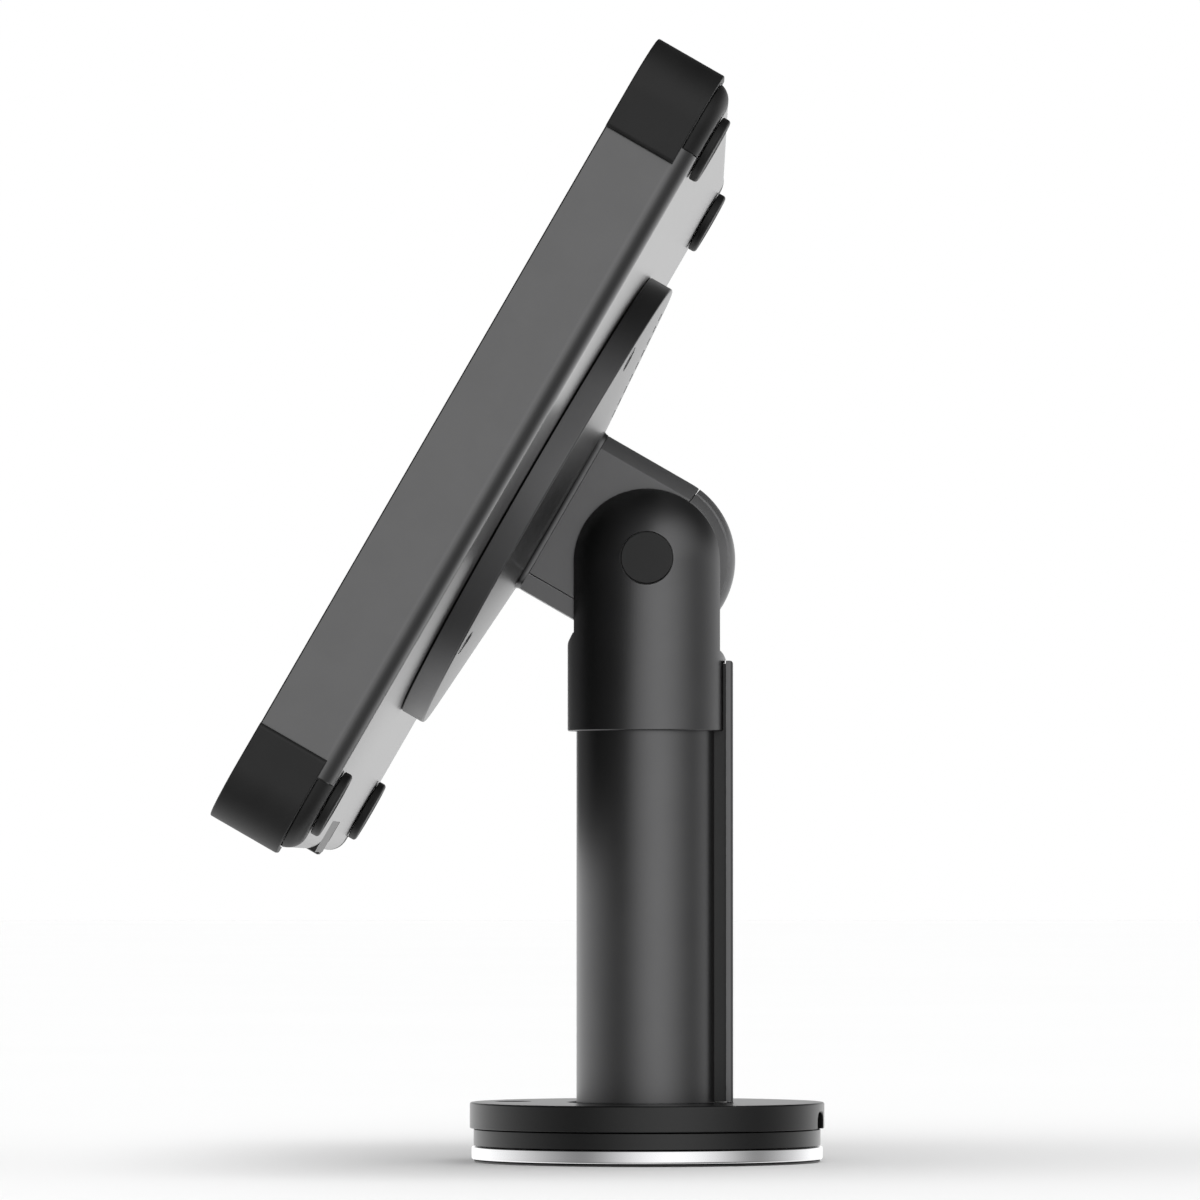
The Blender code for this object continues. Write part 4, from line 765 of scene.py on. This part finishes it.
disc = {"hairline": 0.00003, "radius": 0.0776, "drop": 0.0009, "front": -0.0426, "rim": 0.0077,
        "cone": 0.0035, "edge": 0.0007, "frontEdge": 0.0004, "neck": 0.0310, "flare": 0.0016,
        "round": 0.0048, "sides": 200,
        "slots": 9, "slotStart": 0.0330, "slotPitch": 0.00415, "slotWide": 0.0025,
        "slotLong": 0.0060, "slotDeep": 0.0006, "seat": 0.0057, "headBore": 0.0041,
        "shankBore": 0.0022, "boltLength": 0.0101, "boltHead": 0.0038, "boltShank": 0.0019,
        "boltHeight": 0.0023, "key": 0.0013, "neckHead": 0.0046, "neckSeat": 0.0046}


def makeDisc(s):
    back = s["front"] + s["rim"]
    plane = back + s["cone"]
    profile = eased([(0, s["front"]), (s["radius"], s["front"], s["frontEdge"]),
                     (s["radius"], back, s["edge"]), (s["neck"], plane, 0.0030), (0, plane)], 5)
    plate = raw("disc_plate", lathe(profile, s["sides"], "X", (0, 0, -s["drop"])), headFrame)
    end, steps = knuckle["start"] - s["hairline"], 8
    rings = []
    for i in range(steps + 1):
        angle = pi / 2 * i / steps
        out = s["flare"] * (1 - sin(angle))
        place = plane - gap + (end - plane + gap) * (1 - cos(angle))
        outline = roundBox(knuckle["half"] + out, knuckle["radius"] + out, s["round"] + out, 10)
        rings.append([(place, y, z) for y, z in outline])
    work(plate, loft(rings), "UNION")
    slope = s["cone"] / (s["radius"] - s["neck"])
    slots = []
    for i in range(s["slots"]):
        z = s["slotStart"] + s["slotPitch"] * i
        skin = plane - (z + s["drop"] - s["neck"]) * slope
        outline = [(a, b + z + s["slotWide"] / 2)
                   for a, b in roundBox(s["slotLong"] / 2, s["slotWide"] / 2, 0.0006, 4)]
        slots.append(prism(outline, skin - s["slotDeep"], plane + s["slotDeep"], "X"))
    work(plate, together(slots))
    bolts = [span(f"disc_screw_{n}", headFrame) for n in range(1, 5)]
    spots = [(0, (a.y + b.y) / 2, (a.z + b.z) / 2) for a, b in bolts]
    seat, e = s["front"] + s["seat"], 0.0003
    bore = [(0, s["front"] - gap), (s["shankBore"], s["front"] - gap), (s["shankBore"], seat - gap),
            (s["headBore"], seat - gap), (s["headBore"], back + 0.0006),
            (s["headBore"] + 6 * e, back + 0.0006 + 6 * e), (0, back + 0.0006 + 6 * e)]
    work(plate, together([lathe(bore, 48, "X", spot) for spot in spots]))
    screws = [span(name, headFrame) for name in ("neck_screw_upper", "neck_screw_lower")]
    head = s["front"] + s["neckSeat"]
    work(plate, together([lathe([(0, s["front"] - gap), (s["neckHead"], s["front"] - gap),
                                 (s["neckHead"], head), (knuckle["screwBore"], head),
                                 (knuckle["screwBore"], plane + 0.01), (0, plane + 0.01)], 32, "X",
                                (0, 0, (a.z + b.z) / 2)) for a, b in screws]))
    handOver(plate, "stand_paint", "head", ["mount_disc"], crease=26)
    top, tip = seat + s["boltHeight"], seat - s["boltLength"]
    for n, spot in enumerate(spots, 1):
        profile = [(0, tip), (s["boltShank"] * 0.8, tip), (s["boltShank"], tip + 0.0004),
                   (s["boltShank"], seat), (s["boltHead"], seat)]
        profile += [(s["boltHead"] - e * (1 - cos(t)), top - e * (1 - sin(t)))
                    for t in (0, pi / 6, pi / 3, pi / 2)] + [(0, top)]
        bolt = raw(f"disc_bolt_{n}", lathe(profile, 48, "X", spot), headFrame)
        key = lathe([(0, top - s["boltShank"] * 1.2), (s["key"], top - s["boltShank"]),
                     (s["key"], top - e / 2), (s["key"] + e, top + e / 2), (0, top + e / 2)],
                    6, "X", spot)
        work(bolt, key)
        handOver(bolt, "blackened_steel", "head", [f"disc_screw_{n}"])


makeDisc(disc)
print("knuckle and disc made")


# Terminal casing
casing = {"corner": 0.0151, "cornerSteps": 18, "edge": 0.0060, "edgeSteps": 12, "chamfer": 0.0004,
          "wall": 0.0060, "rearWall": 0.0024, "glassRim": 0.0014, "glassPocket": 0.0024,
          "vents": 5, "ventPitch": 0.0065, "ventWide": 0.0026, "ventLong": 0.0120,
          "ventBack": 0.0120, "ventIn": 0.0520, "ventEdge": 0.00030, "screwBore": 0.0022,
          "wellEdge": 0.00025, "doorGap": 0.00008}
bumper = {"proud": 0.0024, "step": 0.0050, "length": 0.0287, "endRound": 0.0014, "edge": 0.0005,
          "endSteps": 5}
guard = {"length": 0.0229, "thick": 0.0010, "lip": 0.0015, "proud": 0.00005, "edge": 0.00015}

shellLow, shellHigh = span("rear_shell", headFrame)
front, back = shellLow.x, shellHigh.x
halfY = (shellHigh.y - shellLow.y) / 2
halfZ = (shellHigh.z - shellLow.z) / 2
middleZ = (shellHigh.z + shellLow.z) / 2
shellFrame = headFrame @ Matrix.Translation((0, 0, middleZ))   # set on the screen's middle
pocketFront, cavityBack = front + casing["glassPocket"], back - casing["rearWall"]
cavityY, cavityZ = halfY - casing["wall"], halfZ - casing["wall"]


def shellRing(x, inset):
    outline = roundBox(halfY - inset, halfZ - inset, casing["corner"] - inset,
                       casing["cornerSteps"])
    return [(x, y, z) for y, z in outline]


def edgeArc(reach, first, last, steps):       # rear edge's round: x, and inset from the side
    e, points = casing["edge"], []
    for i in range(steps + 1):
        angle = first + (last - first) * i / steps
        points.append((back - e + reach * sin(angle), e - reach * cos(angle)))
    return points


def cornerPath(corner, length, extra=()):     # places round a corner, normals, way to an end
    sy, sz = corner
    r, steps = casing["corner"], casing["cornerSteps"]
    path = [((sy * halfY, sz * (halfZ - length + d)), (sy, 0), d) for d in (0, *extra)]
    for i in range(steps + 1):
        angle = pi / 2 * i / steps
        n = (sy * cos(angle), sz * sin(angle))
        path.append(((sy * (halfY - r) + r * n[0], sz * (halfZ - r) + r * n[1]), n, length))
    path += [((sy * (halfY - length + d), sz * halfZ), (0, sz), d) for d in (*reversed(extra), 0)]
    return path


def guardOuter(grow, lipGrow):                # section of a corner guard, grown by a clearance
    start = back - bumper["step"] + gap

    def first(reach, place):
        return pi / 2 - acos((place - back + casing["edge"]) / reach)

    outer, inner = casing["edge"] + guard["proud"], casing["edge"] - guard["thick"] - grow
    lip = casing["edge"] + guard["lip"] + lipGrow
    steps = casing["edgeSteps"]
    if grow:
        pocket = edgeArc(inner, first(inner, start - grow), pi / 2, steps)
        return pocket + [(back - guard["thick"] - grow, lip), (back + 0.001, lip),
                         (back + 0.001, -0.001), (start - grow, -0.001)]
    section = edgeArc(outer, first(outer, start), pi / 2, steps)
    section += [(back + guard["proud"], lip), (back - guard["thick"], lip)]
    return section + edgeArc(inner, pi / 2, first(inner, start), steps)


def swept(path, section):
    return loft([[(x, p[0] - n[0] * inset, p[1] - n[1] * inset) for x, inset in section]
                 for p, n, _ in path])


def makeCasing(s):
    rings = [shellRing(x, inset) for x, inset in edgeArc(s["edge"], pi / 2, 0, s["edgeSteps"])]
    rings += [shellRing(front + s["chamfer"], 0), shellRing(front, s["chamfer"]),
              shellRing(front, s["glassRim"]), shellRing(pocketFront, s["glassRim"]),
              shellRing(pocketFront, s["wall"]), shellRing(cavityBack, s["wall"])]
    shell = raw("rear_casing", loft(rings), shellFrame)
    slots = []
    outline = roundBox(s["ventLong"] / 2, s["ventWide"] / 2, s["ventWide"] / 2 - 0.0001, 6)
    for side in (1, -1):
        for i in range(s["vents"]):
            y = side * (halfY - s["ventIn"]) + s["ventPitch"] * (i - (s["vents"] - 1) / 2)
            moved = [(a + front + s["ventBack"], -b - y) for a, b in outline]
            slots.append(turnedBy(prism(moved, cavityZ - gap, halfZ, "Z", s["ventEdge"]),
                                  Matrix.Rotation(pi, 4, "X")))
    work(shell, together(slots))
    screws = []
    for n in range(1, 5):
        a, b = span(f"disc_screw_{n}", shellFrame)
        screws.append(lathe([(0, cavityBack - gap), (s["screwBore"], cavityBack - gap),
                             (s["screwBore"], back + gap), (0, back + gap)], 32, "X",
                            (0, (a.y + b.y) / 2, (a.z + b.z) / 2)))
    work(shell, together(screws))
    work(shell, together([swept(cornerPath(corner, guard["length"] + gap), guardOuter(gap, gap))
                          for corner in corners.values()]))
    low, high = span("port_cover", shellFrame)
    slit = s["doorGap"]
    work(shell, block((low.x - slit, low.y - slit, -halfZ - 0.001),
                      (back + 0.001, high.y + slit, high.z + slit)))
    low, high = span("card_slot_bezel", shellFrame)
    throat = 0.0012
    work(shell, block((low.x + throat - gap, cavityY - gap, low.z + throat - gap),
                      (high.x - throat + gap, halfY + gap, high.z - throat + gap)))
    for name in ("power_button", "volume_button"):
        low, high = span(name, shellFrame)
        flange = 0.0012
        middle = (low + high) / 2
        half = Vector((high.x - low.x, high.y - low.y)) / 2 - Vector((flange, flange)) + \
            Vector((gap, gap))
        ring = [(a + middle.x, b + middle.y)
                for a, b in roundBox(half[0], half[1], half[0] - 0.00005, 8)]
        work(shell, prism(ring, cavityZ - gap, halfZ, "Z", s["wellEdge"]))
    handOver(shell, "casing_grey", "head", ["rear_shell"], crease=28)


def makeBumper(name, corner, s):
    rear, e = back - s["step"], s["edge"]
    section = eased([(front, -gap), (front, -s["proud"], e), (rear, -s["proud"], e), (rear, -gap)])
    r = s["endRound"]
    extra = [r * (1 - cos(pi / 2 * k / s["endSteps"])) for k in range(1, s["endSteps"] + 1)]
    rings = []
    for p, n, way in cornerPath(corner, s["length"], extra):
        rise = s["proud"] - r + sqrt(max(0.0, r ** 2 - max(0.0, r - way) ** 2))
        share = (rise - gap) / (s["proud"] - gap)
        rings.append([(x, p[0] + n[0] * (gap + (-inset - gap) * share),
                       p[1] + n[1] * (gap + (-inset - gap) * share)) for x, inset in section])
    piece = raw("bumper_" + name, loft(rings), shellFrame)
    handOver(piece, "bumper_rubber", "head", ["corner_bumper_" + name], crease=40)


def makeGuard(name, corner, s):
    piece = raw("guard_" + name, swept(cornerPath(corner, s["length"]), guardOuter(0, 0)),
                shellFrame)
    soften(piece, s["edge"], 2, 50)
    handOver(piece, "bumper_rubber", "head", ["corner_guard_" + name], crease=40)


def makeFoot(name):
    low, high = span("rear_foot_" + name, shellFrame)
    reach = (high.y - low.y) / 2
    r, dish = 0.0010, 0.0003
    profile = [(0, low.x), (reach - 0.0003, low.x), (reach, low.x + 0.0003)]
    profile += [(reach - r + r * cos(pi / 2 * k / 6), high.x - r + r * sin(pi / 2 * k / 6))
                for k in range(7)]
    profile += [(reach * 0.78, high.x), (reach * 0.72, high.x - dish), (0, high.x - dish)]
    place = Matrix.Translation((0, (low.y + high.y) / 2, (low.z + high.z) / 2))
    foot = raw("foot_" + name, lathe(profile, 72, "X"), shellFrame @ place)
    handOver(foot, "bumper_rubber", "head", ["rear_foot_" + name])


makeCasing(casing)
for cornerName, cornerSides in corners.items():
    makeBumper(cornerName, cornerSides, bumper)
    makeGuard(cornerName, cornerSides, guard)
    makeFoot(cornerName)
print("casing made")

# Port cover, card slot and keys
trim = {"portEdge": 0.0002, "lipEdge": 0.0003,
        "mouthWall": 0.0012, "cardHalf": 0.0275, "cardSlot": 0.0016, "cardFlare": 0.0006,
        "keyEdge": 0.00035, "flangeHigh": 0.0013, "flangeWide": 0.0012}


def makeTrim(s):
    low, high = span("port_cover", shellFrame)
    door = raw("port_door", block(low, high, s["portEdge"]), shellFrame)
    handOver(door, "black_plastic", "head", ["port_cover"])

    low, high = span("card_slot_bezel", shellFrame)
    middle = (low.x + high.x) / 2
    plate = [(b, a) for a, b in roundBox((high.x - low.x) / 2, (high.z - low.z) / 2, 0.0012, 8)]
    plate = [(a, b + middle) for a, b in plate]
    face = high.y
    mouth = raw("slot_mouth", prism(plate, halfY + gap, face - s["lipEdge"], "Y"), shellFrame)
    neckX, neckZ = s["cardSlot"] / 2 + s["mouthWall"], s["cardHalf"] + s["mouthWall"]
    work(mouth, block((middle - neckX, low.y, -neckZ), (middle + neckX, halfY + 2 * gap, neckZ)),
         "UNION")
    soften(mouth, s["lipEdge"], 3, 60)
    slotX, slotZ, flare = s["cardSlot"] / 2, s["cardHalf"], s["cardFlare"]
    rings = []
    for y, grow in ((low.y - gap, 0), (face - 0.0004 - flare, 0), (face + gap, flare)):
        rings.append([(middle + a * (slotX + grow), y, b * (slotZ + grow))
                      for a, b in ((1, 1), (-1, 1), (-1, -1), (1, -1))])
    work(mouth, loft(rings))
    handOver(mouth, "black_plastic", "head", ["card_slot_bezel"])

    for node, body, name in (("power_button", "power_key", "power_key_cap"),
                             ("volume_button", "volume_key", "volume_key_cap")):
        low, high = span(node, shellFrame)
        centre = (low + high) / 2
        halfX, half = (high.x - low.x) / 2, (high.y - low.y) / 2
        w, e = s["flangeWide"], s["keyEdge"]
        rings = []
        for level, shrink in ((low.z, 0), (low.z + s["flangeHigh"], 0),
                              (low.z + s["flangeHigh"], w), (high.z - e, w),
                              (high.z - e * 0.3, w + e * 0.3), (high.z, w + e)):
            outline = roundBox(halfX - shrink, half - shrink, halfX - shrink - 0.00005, 8)
            rings.append([(a + centre.x, b + centre.y, level) for a, b in outline])
        key = raw(name, loft(rings), shellFrame)
        if body == "volume_key":              # a rocker's two halves, told apart by a small groove
            work(key, block((centre.x - halfX, centre.y - 0.0003, high.z - 0.00025),
                            (centre.x + halfX, centre.y + 0.0003, high.z + gap)))
        handOver(key, "black_plastic", body, [node])


makeTrim(trim)
print("trim made")

# Glass and picture
screen = {"rim": 0.0017, "sink": 0.0001, "thick": 0.0020, "edge": 0.0004, "lift": 0.00002,
          "shift": -0.0140, "halfWide": 0.1524, "halfHigh": 0.1143, "skin": 0.00002,
          "card": (0.0856, 0.0540), "keyWide": 0.0330, "keyHigh": 0.0240, "keyGap": 0.0052}


def layer(name, shapes, finish, level):       # flat shapes (outline, x, y) on the glass's face
    place = screenFrame @ Matrix.Translation((0, 0, level))
    solids = [prism([(a + x, b + y) for a, b in outline], 0, screen["skin"], "Z")
              for outline, x, y in shapes]
    handOver(raw(name, together(solids), place), finish, "head", ())


def tile(wide, high, radius=0.0025):
    return roundBox(wide / 2, high / 2, radius, 6)


def numeral(text, size, x, y):                # a plain figure as a mesh, centred on x, y
    curve = bpy.data.curves.new("numeral", "FONT")
    curve.body, curve.size, curve.align_x, curve.align_y = text, size, "CENTER", "CENTER"
    curve.extrude, curve.resolution_u = screen["skin"] / 2, 6
    scrap = bpy.data.objects.new("numeral", curve)
    bpy.context.scene.collection.objects.link(scrap)
    bpy.context.view_layer.update()
    mesh = bpy.data.meshes.new_from_object(scrap.evaluated_get(
        bpy.context.evaluated_depsgraph_get()))
    bpy.data.objects.remove(scrap)
    bm = bmesh.new()
    bm.from_mesh(mesh)
    bpy.data.meshes.remove(mesh)
    bmesh.ops.remove_doubles(bm, verts=bm.verts, dist=1e-6)
    return turnedBy(bm, Matrix.Translation((x, y, screen["skin"] / 2)))


glassFront = front + screen["sink"]
# On the glass: X to the customer's right, Y up the screen, Z out of it.
screenFrame = (shellFrame @ Matrix.Translation((glassFront, screen["shift"], 0))
               @ Matrix(((0, 0, -1), (-1, 0, 0), (0, 1, 0))).to_4x4())


def makeGlass(s):
    e = s["edge"]
    rings = [shellRing(glassFront + e * (1 - sin(t)), s["rim"] + e * (1 - cos(t)))
             for t in (pi / 2, pi / 3, pi / 6, 0)]
    rings.append(shellRing(glassFront + s["thick"], s["rim"]))
    handOver(raw("screen_glass", loft(rings), shellFrame), "cover_glass", "head", ["front_glass"])


def makePicture(s):
    wide, high, lift = 2 * s["halfWide"], 2 * s["halfHigh"], s["lift"]
    margin = 0.0100
    layer("picture_ground", [(tile(wide, high, 0.0008), 0, 0)], "picture_ground", 0)
    keysLeft = s["halfWide"] - margin - 2.5 * s["keyWide"] - 2 * s["keyGap"]
    top = s["halfHigh"] - margin - 0.0180
    places = [(keysLeft + (s["keyWide"] + s["keyGap"]) * (k % 3),
               top - 0.0180 - (s["keyHigh"] + s["keyGap"]) * (k // 3)) for k in range(12)]
    key = tile(s["keyWide"], s["keyHigh"], 0.0030)
    panelWide = wide - 3 * margin - 3 * s["keyWide"] - 2 * s["keyGap"]
    panelX = -s["halfWide"] + margin + panelWide / 2
    panels = [(tile(wide - 2 * margin, 0.0140), 0, s["halfHigh"] - margin - 0.0070)]
    panels += [(key, x, y) for k, (x, y) in enumerate(places) if k != 9 and k != 11]
    panels.append((tile(panelWide, 0.0900), panelX, top - 0.0510))
    panels.append((tile(panelWide, 0.0300), panelX, top - 0.1190))
    layer("picture_panels", panels, "picture_panel", lift)
    light = [(tile(0.0060, 0.0060, 0.0029), s["halfWide"] - margin - 0.0080 * (k + 1),
              s["halfHigh"] - margin - 0.0070) for k in range(3)]
    light.append((tile(0.0420, 0.0040, 0.0019), -s["halfWide"] + 0.0360,
                  s["halfHigh"] - margin - 0.0070))
    cardX, cardY = panelX, top - 0.0480
    light.append((tile(*s["card"], 0.0032), cardX, cardY))
    light += [(tile(0.0500 - 0.012 * k, 0.0045, 0.0022), panelX - 0.030 - 0.006 * k,
               top - 0.1130 - 0.0110 * k) for k in range(2)]
    layer("picture_lights", light, "picture_light", 2 * lift)
    marks = [(tile(0.0120, 0.0095, 0.0018), cardX - 0.0260, cardY + 0.0040),
             (tile(0.0100, 0.0022, 0.0011), places[11][0], places[11][1])]
    layer("picture_amber", marks, "picture_amber", 3 * lift)
    bars = [(tile(s["card"][0], 0.0090, 0.0002), cardX, cardY - 0.0150)]
    layer("picture_band", bars, "picture_panel", 3 * lift)
    confirmX = places[10][0]
    layer("picture_confirm", [(tile(3 * s["keyWide"] + 2 * s["keyGap"], 0.0240, 0.0030), confirmX,
                               places[9][1] - s["keyHigh"] - s["keyGap"])], "picture_green", lift)
    layer("picture_cancel", [(key, *places[9])], "picture_red", lift)
    layer("picture_clear", [(key, *places[11])], "picture_panel", lift)
    figures = [numeral(str(k + 1), 0.0150, x, y) for k, (x, y) in enumerate(places[:9])]
    figures.append(numeral("0", 0.0150, *places[10]))
    digits = raw("picture_figures", together(figures),
                 screenFrame @ Matrix.Translation((0, 0, 2 * lift)))
    handOver(digits, "picture_light", "head", ())
    lamps = [(tile(0.0030, 0.0030, 0.00145), -s["halfWide"] - 0.0195, 0.0480 + 0.0090 * k)
             for k in range(4)]
    layer("status_lamps", lamps, "picture_green", 0)


makeGlass(screen)
makePicture(screen)
print("screen made")


# CAD nodes that show as they are
paintwork = {"swivel_washer": "nylon", "hold_washer": "nylon", "cover_screw": "blackened_steel",
             "tie_bolt": "blackened_steel",
             "pivot_bolt": "bright_steel", "pivot_nut": "bright_steel",
             "friction_washer_left": "nylon", "friction_washer_right": "nylon",
             "neck_screw_upper": "blackened_steel", "neck_screw_lower": "blackened_steel",
             "display_panel": "black_plastic", "mid_frame": "alloy", "mainboard": "circuit_board",
             "battery": "black_plastic", "card_reader": "black_plastic",
             "contactless_antenna": "copper", "speaker_left": "black_plastic",
             "speaker_right": "black_plastic", "camera_module": "black_plastic"}
paintwork.update({f"base_screw_{n}": "blackened_steel" for n in range(1, 5)})
for nodeName, finishName in paintwork.items():
    nodes[nodeName].data.materials.clear()
    nodes[nodeName].data.materials.append(finishes[finishName])
print("plain nodes finished:", len(paintwork))


# Floor, light and surroundings
room = {"floorReach": 14.0, "floorWhite": 0.86, "sun": 1.35, "sunSpread": 75.0,
        "sunTurn": (28.0, -14.0), "surround": 1.0, "fill": 0.85, "ceiling": 0.12,
        # what lies between the boxes, and each box's turn from the front, half width, strength
        "level": (0.22, ((18, 66, 0.97), (140, 72, 0.75), (-145, 110, 1.00))),
        "above": (0.06, ((28, 86, 0.95),)),
        "below": (0.19, ((0, 50, 0.40), (140, 56, 0.85), (-140, 90, 1.00)))}


def makeRoom(s):
    floorFinish = Finish("studio floor", (s["floorWhite"],) * 3, 0.9)
    tint = floorFinish.blend(floorFinish.noise(0.4, 2.0), floorFinish.tone(0.99),
                             floorFinish.tone(1.01))
    floorFinish.put("Base Color", tint)
    bm = lathe([(0, 0), (s["floorReach"], 0)], 96)
    floor = raw("studio_floor", bm)
    floor.data.materials.append(floorFinish.material)
    floor.visible_glossy = False

    sun = bpy.data.lights.new("soft_top_light", "SUN")
    sun.energy = s["sun"]
    sun.angle = radians(s["sunSpread"])
    lamp = bpy.data.objects.new("soft_top_light", sun)
    lamp.visible_glossy = False
    lamp.rotation_euler = [radians(a) for a in s["sunTurn"]] + [0]
    bpy.context.scene.collection.objects.link(lamp)

    world = bpy.data.worlds.new("studio")
    bpy.context.scene.world = world
    world.use_nodes = True
    sky = Net(world.node_tree)
    way = sky.add("ShaderNodeSeparateXYZ", None,
                  {0: sky.add("ShaderNodeTexCoord", output="Generated")})
    x, y, z = way, way.also("Y"), way.also("Z")
    reach = (x * x + y * y) ** 0.5

    def band(dim, boxes):                     # brightness round one height of the studio
        light = dim
        for centre, half, strength in boxes:
            c = radians(centre)
            off = way.maths("ARCCOSINE", (x * sin(c) - y * cos(c)) / reach)
            light = sky.clamp(off, radians(half), 0.0) * strength + light
        return light

    level, above, below = [band(*s[name]) for name in ("level", "above", "below")]
    walls = level + (above - level) * sky.clamp(z, 0.08, 0.42)
    walls = walls + (below - walls) * sky.clamp(z * -1, 0.05, 0.32)
    walls = walls + (s["ceiling"] - walls) * sky.clamp(z, 0.70, 1.0)
    spread = sky.add("ShaderNodeLightPath", output="Is Diffuse Ray")
    glow = walls + (s["fill"] - walls) * spread
    seen = sky.add("ShaderNodeLightPath", output="Is Camera Ray")
    shade = sky.blend(seen, glow, (1.0, 1.0, 1.0, 1))
    sky.feed(world.node_tree.nodes["Background"].inputs["Color"], shade)
    sky.feed(world.node_tree.nodes["Background"].inputs["Strength"], s["surround"])


makeRoom(room)
bpy.context.scene.view_settings.view_transform = "Standard"
print("room made")
